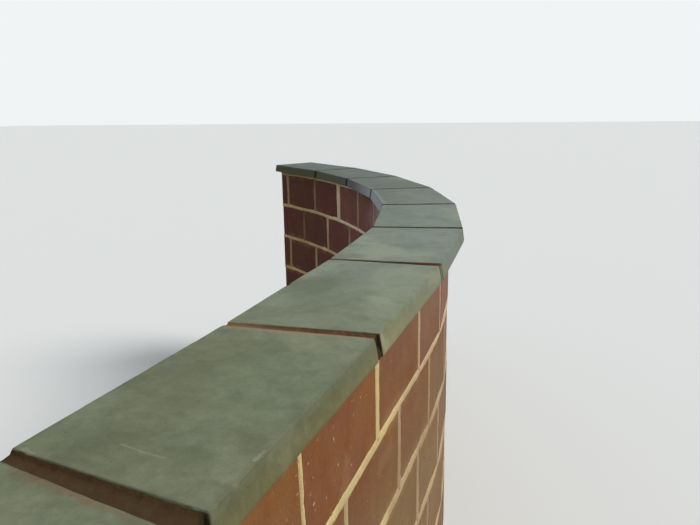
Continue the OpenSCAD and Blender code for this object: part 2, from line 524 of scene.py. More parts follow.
def grown(source, tree, inputs, name, material, smooth):
    """The plain mesh that a geometry tree makes from a source, as a new object. The source goes."""
    modifier = source.modifiers.new("Grow", "NODES")
    modifier.node_group = tree
    sockets = {item.name: item.identifier for item in tree.interface.items_tree
               if item.in_out == "INPUT"}
    for label, value in {**inputs, "Material": material}.items():
        modifier[sockets[label]] = value
    bpy.context.view_layer.update()
    evaluated = source.evaluated_get(bpy.context.evaluated_depsgraph_get())
    mesh = bpy.data.meshes.new_from_object(evaluated)
    mesh.name = name
    mesh.polygons.foreach_set("use_smooth", [smooth] * len(mesh.polygons))
    old = source.data
    bpy.data.objects.remove(source)
    bpy.data.meshes.remove(old)
    return linked(name, mesh)


def place(run, side, radius):
    """The point on the ground plan at a distance along the centre line and to its left."""
    turn = max(run, 0.0) / radius
    reach = radius - side
    return Vector((min(run, 0.0) + reach * math.sin(turn), radius - reach * math.cos(turn)))


def plan_of(x, y, radius):
    """Run and side of a point of the ground plan, the other way round."""
    if x <= 0:
        return x, y
    turn = math.atan2(x, radius - y)
    return turn * radius, radius - math.hypot(x, radius - y)


def bays():
    """Name, first run, last run, walls and mortar beds of each bay."""
    found = []
    for index, name in enumerate(STRAIGHT_BAYS):
        first = START + index * BAY_L
        bed = name.replace("wall_bay", "bay_bed")
        found.append((f"bay_{index + 1}", first, START + (index + 1) * BAY_L, [name], [bed]))
    for index in range(0, len(SEGMENTS), SEGMENTS_PER_BAY):
        names = SEGMENTS[index:index + SEGMENTS_PER_BAY]
        beds = [name.replace("segment", "bed") for name in names]
        first = SEGMENTS_START + index / SEGMENTS_PER_BAY * BAY_L
        found.append((f"bay_{len(found) + 1}", first, first + BAY_L, names, beds))
    return found


def strayed(joint, sizes, chance):
    """The joint of a lower course that repeats this one."""
    return Joint(
        joint.run + chance.uniform(-1, 1) * sizes.laying_error,
        sizes.upright_joint * chance.uniform(*STRAYED_WIDTH), chance.uniform(*STRAYED_DIRT),
        chance.uniform(-1, 1) * sizes.laying_error / 2)


def upright_joints(sizes):
    """The upright joints, one list for each course from the ground up."""
    chance = random.Random(JOINT_SEED)
    pitch = sizes.straight_pitch
    courses = []
    for course in range(sizes.courses):
        from_top = sizes.courses - 1 - course
        laid = LAID_ODD if from_top % 2 == 0 else LAID_EVEN
        before = int((laid[0].run - START - pitch * SHORTEST_UNIT) / pitch)
        joints = [Joint(laid[0].run - count * pitch, sizes.upright_joint)
                  for count in range(before, 0, -1)] + list(laid)
        if from_top >= COURSES_AS_LAID:
            joints = [strayed(joint, sizes, chance) for joint in joints]
        courses.append(joints)
    return courses


def course_floor(sizes, course):
    """Height of the underside of a course's units."""
    return sizes.ground_bed + course * (sizes.unit_height + sizes.bed_joint)


def unit_rows(sizes):
    """One row for each clay unit: its middle, turn, length and taper, and its chance numbers."""
    chance = random.Random(UNIT_SEED)
    radius = sizes.curve_radius
    rows = []
    for course, joints in enumerate(upright_joints(sizes)):
        height = course_floor(sizes, course) + sizes.unit_height / 2
        starts = [(START, 0.0)] + [(joint.run + joint.width / 2, joint.lean) for joint in joints]
        ends = [(joint.run - joint.width / 2, joint.lean) for joint in joints] + [(END, 0.0)]
        for (first, first_lean), (last, last_lean) in zip(starts, ends):
            near, far = place(first, 0, radius), place(last, 0, radius)
            chord = far - near
            middle = ((near + far) / 2 + place((first + last) / 2, 0, radius)) / 2
            turned = (max(last, 0) - max(first, 0)) / radius
            rows.append({
                "centre": (middle.x, middle.y, height),
                "run": (first + last) / 2,
                "turn": math.atan2(chord.y, chord.x),
                "length": chord.length,
                "taper": turned / chord.length,
                "first_lean": first_lean,
                "last_lean": last_lean,
                "tone": chance.random(),
                "tint": chance.random(),
                "lean": chance.uniform(-1, 1),
                "swing": chance.uniform(-1, 1),
                "stand": chance.uniform(-1, 1),
            })
    return rows


# Quads along and up a clay unit's face
UNIT_GRID = (14, 8)
# How much a unit that was set askew counts against one that stands before or behind the next
ASKEW = 1.5
# Share of the half size above which a point lies at the edge of its shape
EDGE_SHARE = 0.99


def to_edge_rows(nodes, local, count, size, arris):
    """The share of a size at which each row of points lies, and whether it is an outermost row.

    The outermost rows stay at the edge, and the next ones are drawn close to them.
    """
    share = nodes.times(nodes.math("ABSOLUTE", local), 2.0)
    inner = nodes.times(nodes.minus(1.0, nodes.over(nodes.times(arris, 2.0), size)),
                        nodes.times(share, count / (count - 2.0)))
    at_edge = nodes.math("GREATER_THAN", share, EDGE_SHARE)
    placed = nodes.times(nodes.mix(at_edge, inner, 1.0), 0.5)
    return nodes.times(nodes.math("SIGN", local), placed), at_edge


def unit_tree(sizes):
    """Geometry tree that sets a clay unit on each point of the layout."""
    nodes, given, out = new_group(
        "Clay units", "GeometryNodeTree", {"Geometry": GEOMETRY, **sizes, "Material": MATERIAL},
        {"Geometry": GEOMETRY})
    shape = block(nodes, UNIT_GRID[0] + 1, UNIT_GRID[1] + 1)
    solid = realized(nodes, set_out(nodes, given["Geometry"], shape))
    local = nodes.split(named(nodes, "local", "FLOAT_VECTOR"))
    length, height, arris = named(nodes, "length"), given["Unit height"], given["Unit arris"]
    along_share, along_edge = to_edge_rows(nodes, local[0], UNIT_GRID[0], length, arris)
    up_share, up_edge = to_edge_rows(nodes, local[2], UNIT_GRID[1], height, arris)

    side_sign = nodes.math("SIGN", local[1])
    side = nodes.times(side_sign, nodes.over(given["Wall thickness"], 2.0))
    taper = nodes.minus(1.0, nodes.times(named(nodes, "taper"), side))
    end_lean = nodes.mix(nodes.plus(along_share, 0.5), named(nodes, "first_lean"),
                         named(nodes, "last_lean"))
    along = nodes.plus(nodes.times(along_share, length, taper), nodes.times(end_lean, up_share))
    up = nodes.times(up_share, height)

    centre = named(nodes, "centre", "FLOAT_VECTOR")
    rough = nodes.noise(nodes.vector("ADD", centre, nodes.join(along, side, up)), 9.0, 3.0)
    lean = nodes.plus(nodes.times(named(nodes, "lean"), up_share),
                      nodes.times(named(nodes, "swing"), along_share))
    stand = nodes.times(nodes.plus(named(nodes, "stand"), nodes.times(lean, ASKEW)),
                        given["Unevenness"])
    bulge = nodes.times(nodes.minus(rough, 0.5), given["Unit bulge"])
    rounded = nodes.times(arris, nodes.ramp(rough, 0.3, 0.7, 0.4, 1.3))
    drop = nodes.times(nodes.math("MAXIMUM", along_edge, up_edge), rounded)
    relief = nodes.minus(nodes.plus(stand, bulge), drop)
    side = nodes.plus(side, nodes.times(side_sign, relief))

    inputs = {"Vector": nodes.join(along, side, up), "Angle": named(nodes, "turn")}
    turned = nodes.add("ShaderNodeVectorRotate", inputs, rotation_type="Z_AXIS").outputs[0]
    solid = stored(nodes, solid, "inside", nodes.ramp(local[1], -0.5, 0.5))
    to_bed = nodes.times(nodes.minus(0.5, nodes.math("ABSOLUTE", up_share)), height)
    solid = stored(nodes, solid, "to_bed", to_bed)
    return completed(nodes, given, out, solid, nodes.vector("ADD", centre, turned))


# How far a strip of mortar stays back from the wall's two ends
END_GAP = 0.0015


def mortar_rows(sizes, first, last):
    """One row for each strip of mortar between two runs: the beds, then the upright joints."""
    low = first + (END_GAP if first <= START else 0)
    high = last - (END_GAP if last >= END else 0)
    top = course_floor(sizes, sizes.courses) - sizes.bed_joint
    beds = [(sizes.ground_bed / 2, sizes.ground_bed)]
    beds += [(course_floor(sizes, course) - sizes.bed_joint / 2, sizes.bed_joint)
             for course in range(1, sizes.courses)]
    beds += [((top + SLAB_LOW.z) / 2, SLAB_LOW.z - top)]
    rows = [{"run": (low + high) / 2, "height": height, "length": high - low, "joint": joint,
             "upright": 0.0, "flare": 0.0, "lean": 0.0, "dirt": 0.0} for height, joint in beds]
    for course, joints in enumerate(upright_joints(sizes)):
        height = course_floor(sizes, course) + sizes.unit_height / 2
        rows += [{"run": joint.run, "height": height,
                  "length": sizes.unit_height + sizes.bed_joint / 2, "joint": joint.width,
                  "upright": 1.0, "flare": joint.flare, "lean": joint.lean, "dirt": joint.dirt}
                 for joint in joints if first <= joint.run < last]
    return rows


# Points along and up a strip of a bed, and of an upright joint
BED_GRID = (181, 9)
UPRIGHT_GRID = (9, 33)
# Height above which the outside beds were laid generously
GENEROUS_ABOVE = 1.0
# How steeply the mortar falls back past the edges of its joint
MORTAR_FALL = 1.1


def half_width(nodes, given, where, run, is_inside):
    """Half of what a joint shows: ragged, and wider where mortar was smeared over the units."""
    local = nodes.split(named(nodes, "local", "FLOAT_VECTOR"))
    upright = named(nodes, "upright")
    coarse = nodes.noise(where, 11.0, 2.0)
    fine = nodes.noise(where, 60.0, 4.0, 0.65)
    outside = nodes.minus(1.0, is_inside)
    top_bed = nodes.times(nodes.math("GREATER_THAN", named(nodes, "height"), GENEROUS_ABOVE),
                          nodes.math("LESS_THAN", upright, 0.5))
    generous = nodes.times(nodes.ramp(run, -0.95, -0.75),
                           nodes.ramp(run, -0.60, -0.35, 1.0, 0.25), top_bed, outside)
    smeared = nodes.times(nodes.ramp(run, -0.62, -0.50), outside, nodes.minus(1.0, top_bed))
    smear = nodes.mix(upright, given["Smeared bed"], given["Smeared upright"])
    half = nodes.plus(
        nodes.over(named(nodes, "joint"), 2.0),
        nodes.times(nodes.ramp(coarse, 0.25, 0.75, -0.8, 1.0), given["Spread"]),
        nodes.times(nodes.minus(fine, 0.5), given["Fray"]),
        nodes.times(named(nodes, "flare"), local[2]),
        nodes.times(generous, given["Generous bed"]),
        nodes.times(smeared, smear),
        nodes.times(is_inside, given["Inside spread"]))
    return nodes.math("MAXIMUM", half, given["Least half width"])


def mortar_relief(nodes, given, where, across, half):
    """How far the mortar stands before the units. It falls back past the edges of its joint."""
    distance = nodes.math("ABSOLUTE", across)
    lumps = nodes.noise(nodes.vector("ADD", where, (7.0, 3.0, 5.0)), 38.0, 3.0, 0.55)
    beyond = nodes.math("MAXIMUM", nodes.minus(distance, half), 0.0)
    share = nodes.math("MINIMUM", nodes.over(distance, half), 1.0)
    return nodes.minus(
        nodes.plus(given["Proud"], nodes.times(nodes.minus(lumps, 0.5), given["Lumps"])),
        nodes.times(nodes.math("POWER", share, 2.0), given["Dish"]),
        nodes.times(beyond, MORTAR_FALL))


def mortar_tree(sizes):
    """Geometry tree that lays a ragged strip of mortar on each point, through the wall."""
    nodes, given, out = new_group(
        "Mortar strips", "GeometryNodeTree", {"Geometry": GEOMETRY, **sizes, "Material": MATERIAL},
        {"Geometry": GEOMETRY})
    upright = named(nodes, "upright")
    points = given["Geometry"]
    beds = set_out(nodes, points, block(nodes, *BED_GRID), nodes.math("LESS_THAN", upright, 0.5))
    uprights = set_out(nodes, points, block(nodes, *UPRIGHT_GRID),
                       nodes.math("GREATER_THAN", upright, 0.5))
    both = nodes.add("GeometryNodeJoinGeometry")
    for strips in (uprights, beds):
        nodes.tree.links.new(strips, both.inputs[0])
    solid = realized(nodes, both.outputs[0])

    local = nodes.split(named(nodes, "local", "FLOAT_VECTOR"))
    width = nodes.plus(named(nodes, "joint"), nodes.times(given["Lap"], 2.0))
    across = nodes.times(nodes.mix(upright, local[2], local[0]), width)
    along = nodes.times(nodes.mix(upright, local[0], local[2]), named(nodes, "length"))
    side_sign = nodes.math("SIGN", local[1])
    side = nodes.times(side_sign, nodes.over(given["Wall thickness"], 2.0))
    middle = named(nodes, "run")
    curved = nodes.over(nodes.math("GREATER_THAN", middle, 0.0), given["Curve radius"])
    stretch = nodes.minus(1.0, nodes.times(curved, side))
    swung = nodes.plus(nodes.over(across, stretch), nodes.times(named(nodes, "lean"), local[2]))
    run = nodes.plus(middle, nodes.mix(upright, along, swung))
    height = nodes.plus(named(nodes, "height"), nodes.mix(upright, across, along))
    height = nodes.math("MAXIMUM", height, 0.0)

    where = nodes.join(run, nodes.times(side_sign, 2.0), height)
    half = half_width(nodes, given, where, run, nodes.math("GREATER_THAN", side_sign, 0.0))
    relief = mortar_relief(nodes, given, where, across, half)
    side = nodes.plus(side, nodes.times(side_sign, relief))
    solid = stored(nodes, solid, "inside", nodes.ramp(local[1], -0.5, 0.5))
    solid = stored(nodes, solid, "along", run)
    return completed(nodes, given, out, solid, bent(nodes, given, run, side, height))


# Small splashes: the least size and how much larger they get, in metres, and the share outside
SPLASH_SIZE = (0.0012, 0.0030)
SPLASHES_OUTSIDE = 0.6
# How flat the large ones are on each side: height over width
OUTSIDE_TALL, INSIDE_TALL, SMALL_TALL = 0.75, 1.6, (0.6, 1.3)
# How far a splash stands before the units, in metres and as a share of its size, and its thickness
SPLASH_PROUD = (0.0005, 0.06)
SPLASH_THICKNESS = 0.2
# How far small splashes stay from the wall's ends and its top, and from the ground
SPLASH_MARGIN, SPLASH_LOWEST = 0.01, 0.02


def splash_rows(count):
    """One row for each mortar splash on the units' faces: its place, size and shape."""
    chance = random.Random(SPLASH_SEED)
    rows = [{"run": run, "outside": outside, "height": height, "size": size, "tall": tall}
            for marks, outside, tall in ((SPLASHES, -1.0, OUTSIDE_TALL),
                                         (SPLASHES_INSIDE, 1.0, INSIDE_TALL))
            for run, height, size in marks]
    least, more = SPLASH_SIZE
    for _ in range(count):
        rows.append({
            "size": least + more * chance.random() ** 3,
            "run": chance.uniform(START + SPLASH_MARGIN, END - SPLASH_MARGIN),
            "outside": -1.0 if chance.random() < SPLASHES_OUTSIDE else 1.0,
            "height": chance.uniform(SPLASH_LOWEST, BAY_HIGH.z - SPLASH_MARGIN),
            "tall": chance.uniform(*SMALL_TALL),
        })
    return rows


def splash_tree(sizes):
    """Geometry tree that puts a flat lump of mortar on each point of the layout."""
    nodes, given, out = new_group(
        "Mortar splashes", "GeometryNodeTree",
        {"Geometry": GEOMETRY, **sizes, "Material": MATERIAL}, {"Geometry": GEOMETRY})
    ball = nodes.add("GeometryNodeMeshIcoSphere", {"Radius": 1.0, "Subdivisions": 2}).outputs[0]
    solid = realized(nodes, set_out(nodes, given["Geometry"], with_local(nodes, ball)))
    in_ball = named(nodes, "local", "FLOAT_VECTOR")
    local = nodes.split(in_ball)
    run, height, outside = (named(nodes, name) for name in ("run", "height", "outside"))
    own = nodes.join(nodes.times(run, 37.0), 0.0, height)
    lobes = nodes.noise(nodes.vector("ADD", in_ball, own), 1.1, 2.0)
    size = nodes.times(named(nodes, "size"), nodes.ramp(lobes, 0.25, 0.75, 0.45, 1.5))
    run = nodes.plus(run, nodes.times(local[0], size))
    height = nodes.plus(height, nodes.times(local[2], size, named(nodes, "tall")))
    face = nodes.times(outside, nodes.over(given["Wall thickness"], 2.0))
    proud = nodes.plus(SPLASH_PROUD[0], nodes.times(size, SPLASH_PROUD[1]))
    swell = nodes.times(local[1], nodes.times(size, SPLASH_THICKNESS))
    side = nodes.plus(face, nodes.plus(nodes.times(proud, outside), swell))
    solid = stored(nodes, solid, "inside", nodes.ramp(outside, -0.5, 0.5))
    return completed(nodes, given, out, solid, bent(nodes, given, run, side, height))


# Distance within which a point counts as lying at an edge or at the foot
AT_EDGE = 0.001
# Distance between the grid lines of a slab and of a joint, and places of those near their edges
SLAB_STEP, JOINT_STEP = 0.011, 0.003
NEAR_EDGE = (0.0, 0.0008, 0.0018, 0.003, 0.0048, 0.0075, 0.0109)
BEYOND_EDGE = 0.016
SLAB_HEIGHTS = (0.0, 0.05, 0.15, 0.33, 0.52, 0.7, 0.81, 0.88, 0.925, 0.955, 0.98, 1.0)
JOINT_WIDTHS = (0.0, 0.08, 0.2, 0.35, 0.5, 0.65, 0.8, 0.87, 0.94, 1.0)
JOINT_HEIGHTS = (0.0, 0.15, 0.3, 0.45, 0.6, 0.75, 0.9, 1.0)
# Least radius of a slab's upper edges, and radius of the lower ones
LEAST_ARRIS, FOOT_ARRIS = 0.0006, 0.0012
# Width of the nearly upright walls of a drip groove
GROOVE_WALL = 0.0001
# Share of the edge's radius, down from the top, that still counts as the top or as the arris
TOP_SHARE, ARRIS_SHARE = 0.7, 0.5
# Shares of a joint's width and height over which its mortar climbs the far slab and swells out
CLIMB_FROM, CLIMB_OVER = 0.8, 0.2
SWELL_FROM, SWELL_OVER = 0.1, 0.55
# How soon filled mortar is flush, and how far the lumps at a joint's ends stand out
FLUSH_SOON, LUMPS_OUT = 1.3, 0.001
SHARP_ANGLE = math.radians(50)
# Distance to a joint that is stored where a slab's end has none
NO_JOINT = 1.0


def corners_of(node, radius):
    """Plan corners of a slab or joint: outer near, outer far, inner far, inner near."""
    low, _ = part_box(node)
    points = {(round(v.co.x, 5), round(v.co.y, 5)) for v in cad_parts[node].data.vertices
              if v.co.z < low.z + AT_EDGE}
    plans = [(*plan_of(x, y, radius), Vector((x, y))) for x, y in sorted(points)]
    runs, sides = [plan[0] for plan in plans], [plan[1] for plan in plans]
    long, wide = max(runs) - min(runs), max(sides) - min(sides)

    def corner(ahead, inward):
        return max(plans, key=lambda plan: ahead * plan[0] / long + inward * plan[1] / wide)[2]

    return corner(-1, -1), corner(1, -1), corner(1, 1), corner(-1, 1)


def lines(length, step, close):
    """Places of grid lines along a length: these close ones at both ends, and others between."""
    count = max(2, round((length - 2 * close[-1]) / step))
    middle = [close[-1] + (length - 2 * close[-1]) * i / count for i in range(1, count)]
    return list(close) + middle + [length - value for value in reversed(close)]


def box_shell(xs, ys, zs):
    """Points and outward quads of the surface of a box that is ruled by these lines."""
    right, back, top = len(xs) - 1, len(ys) - 1, len(zs) - 1
    index, points, faces = {}, [], []

    def quad(*keys):
        for i, j, k in keys:
            if (i, j, k) not in index:
                index[i, j, k] = len(points)
                points.append((xs[i], ys[j], zs[k]))
        faces.append([index[key] for key in keys])

    for i in range(right):
        for j in range(back):
            quad((i, j, 0), (i, j + 1, 0), (i + 1, j + 1, 0), (i + 1, j, 0))
            quad((i, j, top), (i + 1, j, top), (i + 1, j + 1, top), (i, j + 1, top))
    for i in range(right):
        for k in range(top):
            quad((i, 0, k), (i + 1, 0, k), (i + 1, 0, k + 1), (i, 0, k + 1))
            quad((i, back, k), (i, back, k + 1), (i + 1, back, k + 1), (i + 1, back, k))
    for j in range(back):
        for k in range(top):
            quad((0, j, k), (0, j, k + 1), (0, j + 1, k + 1), (0, j + 1, k))
            quad((right, j, k), (right, j + 1, k), (right, j + 1, k + 1), (right, j, k + 1))
    return points, faces


def mesh_object(name, points, faces, rows, material):
    """A smooth-shaded object from points and quads. Each row holds the numbers of one point."""
    mesh = bpy.data.meshes.new(name)
    mesh.from_pydata(points, [], faces)
    for key in rows[0]:
        values = [row[key] for row in rows]
        mesh.attributes.new(key, "FLOAT", "POINT").data.foreach_set("value", values)
    mesh.materials.append(material)
    mesh.polygons.foreach_set("use_smooth", [True] * len(mesh.polygons))
    return linked(name, mesh)


def smooth_step(value):
    """0 below 0, 1 above 1 and smooth between."""
    value = min(1.0, max(0.0, value))
    return value * value * (3 - 2 * value)


def rounded_corner(away, across):
    """Moves a point of a square corner onto a round one. Both numbers are 1 at the edge."""
    if away <= 0 or across <= 0:
        return away, across
    share = max(away, across) / math.hypot(away, across)
    return away * share, across * share


def edge_radius(world, sizes):
    """Radius of a slab's upper edges at a point, where they may be worn or chipped."""
    worn = sizes.arris * (0.8 + 0.5 * noise.noise(world * 21) + 0.35 * noise.noise(world * 90))
    chipped = smooth_step((noise.noise(world * 17 + Vector((3, 9, 1))) - 0.46) / 0.25)
    chipped *= smooth_step((noise.noise(world * 70) + 0.3) / 0.4)
    return max(LEAST_ARRIS, worn + sizes.chip * chipped)


def eased(inward, down, soft):
    """How far a point near an edge moves in, and its new depth, when the edge is rounded."""
    near_edge, near_top = rounded_corner(1 - inward / soft, 1 - down / soft)
    if near_edge > 0 and near_top > 0:
        return soft * (1 - near_edge) - inward, soft * (1 - near_top)
    return 0.0, down


def cornered(from_end, from_edge, shift, corner):
    """New distances from a slab's end and edge, when its corner in plan is rounded."""
    away_x, away_y = rounded_corner(1 - from_end / corner, 1 - from_edge / corner)
    if away_x > 0 and away_y > 0:
        reach = math.hypot(away_x, away_y)
        keep = (reach * corner - shift) / (reach * corner)
        return corner * (1 - away_x * keep), corner * (1 - away_y * keep)
    if from_end <= from_edge:
        return from_end + shift, from_edge
    return from_end, from_edge + shift


def dressed_slab(name, node, sizes, radius, joined, tone, material):
    """A coping slab with worn and chipped edges, round corners, waved faces and drip grooves.

    The pair joined says whether a joint lies at its near end and at its far end.
    """
    outer_near, outer_far, inner_far, inner_near = corners_of(node, radius)
    length = ((outer_far - outer_near).length + (inner_far - inner_near).length) / 2
    width = ((inner_near - outer_near).length + (inner_far - outer_far).length) / 2
    low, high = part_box(node)
    height = high.z - low.z
    groove_end = sizes.drip_from + sizes.drip_width
    groove = (sizes.drip_from, sizes.drip_from + GROOVE_WALL, groove_end,
              groove_end + 2 * GROOVE_WALL)
    xs = lines(length, SLAB_STEP, NEAR_EDGE + (BEYOND_EDGE,))
    ys = lines(width, SLAB_STEP, NEAR_EDGE + groove)
    raw, faces = box_shell(xs, ys, [share * height for share in SLAB_HEIGHTS])

    def on_plan(share_x, share_y):
        outer = outer_near.lerp(outer_far, share_x)
        return outer.lerp(inner_near.lerp(inner_far, share_x), share_y)

    points, rows = [], []
    for x, y, z in raw:
        is_near, is_outer, upper = x < length / 2, y < width / 2, z > height / 2
        from_end, from_edge = min(x, length - x), min(y, width - y)
        flat = on_plan(x / length, y / width)
        world = Vector((flat.x, flat.y, low.z + z))
        soft = edge_radius(world, sizes) if upper else FOOT_ARRIS
        shift, down = eased(min(from_end, from_edge), height - z if upper else z, soft)
        new_z = height - down if upper else down
        corner = sizes.corner_near if is_near else sizes.corner
        corner = sizes.corner_foot + (corner - sizes.corner_foot) * (z / height) ** 3
        new_x, new_y = cornered(from_end, from_edge, shift, corner)

        leaning = height - sizes.foot - sizes.arris
        lean = sizes.batter * min(1.0, max(0.0, (new_z - sizes.foot) / leaning))
        new_y = lean + new_y * (width - 2 * lean) / width
        in_groove = sizes.drip_from < from_edge < groove_end + GROOVE_WALL
        if in_groove and (z == 0 or from_end == 0):
            new_z = sizes.drip_depth + z * (height - sizes.drip_depth) / height
        if upper:
            wave = noise.noise(world * 5) + 0.4 * noise.noise(world * 23)
            wave += 0.25 * noise.noise(world * 60)
            new_z += min(0.0, sizes.wave * (wave - 1.0) * (z / height))
        if from_edge < AT_EDGE:
            wave = 1.0 + noise.noise(world * 9) + 0.5 * noise.noise(world * 40)
            new_y += sizes.wave * max(0.0, wave)
        flat = on_plan((new_x if is_near else length - new_x) / length,
                       (new_y if is_outer else width - new_y) / width)
        points.append((flat.x, flat.y, low.z + new_z))
        run, side = plan_of(flat.x, flat.y, radius)
        has_joint = joined[0] if is_near else joined[1]
        on_end = has_joint and from_end == 0 and z < height - soft * ARRIS_SHARE
        rows.append({
            "to_joint": from_end if has_joint else NO_JOINT, "to_edge": from_edge,
            "on_top": float(z > height - soft * TOP_SHARE), "on_end": float(on_end),
            "rise": new_z / height, "run": run, "side": side, "tone": tone})
    return mesh_object(name, points, faces, rows, material)


def dressed_joint(name, node, sizes, radius, material):
    """The lumpy mortar between two slabs. It stands back at the top and swells out below."""
    outer_near, outer_far, inner_far, inner_near = corners_of(node, radius)
    width = (inner_near - outer_near).length
    low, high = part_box(node)
    height = high.z - low.z
    raw, faces = box_shell(JOINT_WIDTHS, lines(width, JOINT_STEP, (0.0, 0.002)), JOINT_HEIGHTS)
    points, rows = [], []
    for share_x, y, share_z in raw:
        outer = outer_near.lerp(outer_far, share_x)
        inner = inner_near.lerp(inner_far, share_x)
        flat = outer.lerp(inner, y / width)
        world = Vector((flat.x, flat.y, low.z + share_z * height))
        lumps = 0.5 * noise.noise(world * 31) + 0.5 * noise.noise(world * 83)
        lumps += 0.4 * noise.noise(world * 190)
        run, side = plan_of(flat.x, flat.y, radius)
        full = max(smooth_step(1 - math.dist((run, side), (fill_run, fill_side)) / reach)
                   for fill_run, fill_side, reach in FILLED)

        sag = sizes.joint_sag * (1 - (2 * share_x - 1) ** 2)
        rise = (lumps * sizes.joint_roughness * (1 - full) + sizes.joint_crown - sag
                + sizes.joint_fill * full) * share_z
        rise += sizes.joint_climb * smooth_step((share_x - CLIMB_FROM) / CLIMB_OVER) * share_z
        rise = min(rise, sizes.joint_depth - sizes.joint_cover)

        end = -1.0 if y < AT_EDGE else 1.0 if y > width - AT_EDGE else 0.0
        flush = sizes.joint_flush + sizes.joint_flush_foot * (1 - share_z)
        flush *= min(1.0, FLUSH_SOON * full)
        swell = sizes.joint_swell * (1 - smooth_step((share_z - SWELL_FROM) / SWELL_OVER))
        swell = max(swell, sizes.joint_fill if end > 0 else flush) + LUMPS_OUT * lumps
        across = (inner - outer).normalized() * (end * swell)
        points.append((flat.x + across.x, flat.y + across.y, world.z + rise))
        rows.append({"depth": 1 - share_z, "at_edge": abs(end), "filled": full, "run": run,
                     "across": share_x})
    made = mesh_object(name, points, faces, rows, material)
    made.data.set_sharp_from_angle(angle=SHARP_ANGLE)
    return made


def mottle_group(name):
    """Masks of soft patches, of a finer speckle and of the finest grain."""
    nodes, given, out = new_group(
        name, "ShaderNodeTree", {"Place": VECTOR, "Size": 1.0},
        {"Patches": FLOAT, "Speckle": FLOAT, "Grain": FLOAT})
    where, size = given["Place"], given["Size"]
    moved = nodes.vector("ADD", where, (5.0, 1.0, 8.0))
    large = nodes.noise(where, nodes.times(size, 4.0), 4.0, 0.55)
    middle = nodes.noise(moved, nodes.times(size, 17.0), 5.0, 0.6)
    nodes.link(out, {
        "Patches": nodes.plus(nodes.times(large, 0.55), nodes.times(middle, 0.45)),
        "Speckle": nodes.noise(where, nodes.times(size, 160.0), 2.0, 0.7),
        "Grain": nodes.noise(where, nodes.times(size, 620.0), 2.0, 0.6)})
    return nodes.tree


def streak_group(name):
    """Masks of upright streaks, as the extruder and running water leave them."""
    nodes, given, out = new_group(
        name, "ShaderNodeTree", {"Place": VECTOR, "Fineness": 45.0},
        {"Streaks": FLOAT, "Fine streaks": FLOAT})
    where, fineness = given["Place"], given["Fineness"]
    drawn = nodes.vector("MULTIPLY", where, (1.0, 1.0, 0.10))
    drawn_far = nodes.vector("MULTIPLY", where, (1.0, 1.0, 0.05))
    nodes.link(out, {
        "Streaks": nodes.noise(drawn, fineness, 4.0, 0.6),
        "Fine streaks": nodes.noise(drawn_far, nodes.times(fineness, 5.0), 2.0, 0.6)})
    return nodes.tree


def stain_group(name):
    """Mask of a ragged mark along the line from one place to another."""
    nodes, given, out = new_group(
        name, "ShaderNodeTree",
        {"Place": VECTOR, "Start": (0.0, 0.0, 0.0), "End": (0.0, 0.0, 1.0), "Reach": 0.01,
         "Strength": 1.0},
        {"Mask": FLOAT})
    reach = given["Reach"]
    line = nodes.vector("SUBTRACT", given["End"], given["Start"])
    away = nodes.vector("SUBTRACT", given["Place"], given["Start"])
    share = nodes.math("DIVIDE", nodes.dot(away, line), nodes.dot(line, line), clamp=True)
    away = nodes.vector("SUBTRACT", away, nodes.scaled(line, share))
    distance = nodes.math("SQRT", nodes.dot(away, away))
    ragged = nodes.minus(nodes.noise(given["Place"], nodes.over(1.2, reach), 3.0, 0.6), 0.5)
    distance = nodes.plus(distance, nodes.times(ragged, nodes.times(reach, 2.2)))
    soft = nodes.ramp(distance, nodes.times(reach, 0.25), reach, 1.0, 0.0)
    nodes.link(out, {"Mask": nodes.times(soft, given["Strength"])})
    return nodes.tree


class Finish(Nodes):
    """A new material: its nodes, its Principled shader and its object coordinates."""

    SPECULAR = 0.11

    def __init__(self, name, roughness):
        self.material = bpy.data.materials.new(name)
        self.material.use_nodes = True
        super().__init__(self.material.node_tree)
        self.shader = self.tree.nodes["Principled BSDF"]
        self.link(self.shader, {"Roughness": roughness, "Specular IOR Level": self.SPECULAR})
        self.where = self.add("ShaderNodeTexCoord").outputs["Object"]

    def read(self, name):
        """A number that is stored on the piece's points."""
        return self.add("ShaderNodeAttribute", attribute_name=name).outputs["Fac"]

    def use(self, name, build, **inputs):
        """The outputs of a shader group that more than one material uses."""
        inputs["Place"] = self.where
        return self.add("ShaderNodeGroup", inputs, node_tree=shared(name, build)).outputs

    def mottle(self, size):
        return self.use("Mottle", mottle_group, Size=size)

    def inside(self):
        """1 on the face of the wall inside the curve, and 0 elsewhere."""
        return self.ramp(self.read("inside"), 0.93, 0.99)

    def stained(self, colour, marks):
        """The colour with marks: each a start, an end, a reach, a strength and a colour."""
        for start, end, reach, strength, tint in marks:
            stain = self.use("Stain", stain_group, Start=start, End=end, Reach=reach,
                             Strength=strength)
            colour = self.blend(stain["Mask"], colour, tint)
        return colour

    def tuned(self, colour, **changes):
        """The colour with another Hue, Saturation or Value."""
        inputs = {"Color": colour, **changes}
        return self.add("ShaderNodeHueSaturation", inputs).outputs[0]

    def done(self, colour, height, distance):
        """The material with this colour, and with a bump of this height and distance."""
        bump = self.add("ShaderNodeBump", {"Height": height, "Distance": distance})
        self.link(self.shader, {"Base Color": colour, "Normal": bump.outputs[0]})
        return self.material


def lime_mark(colours, radius):
    """The lime on the inside of the curve, high up."""
    start, end = place(1.12, WALL_T / 2, radius), place(1.38, WALL_T / 2, radius)
    return (*start, 1.16), (*end, 1.21), 0.260, 0.46, colours.clay_limed


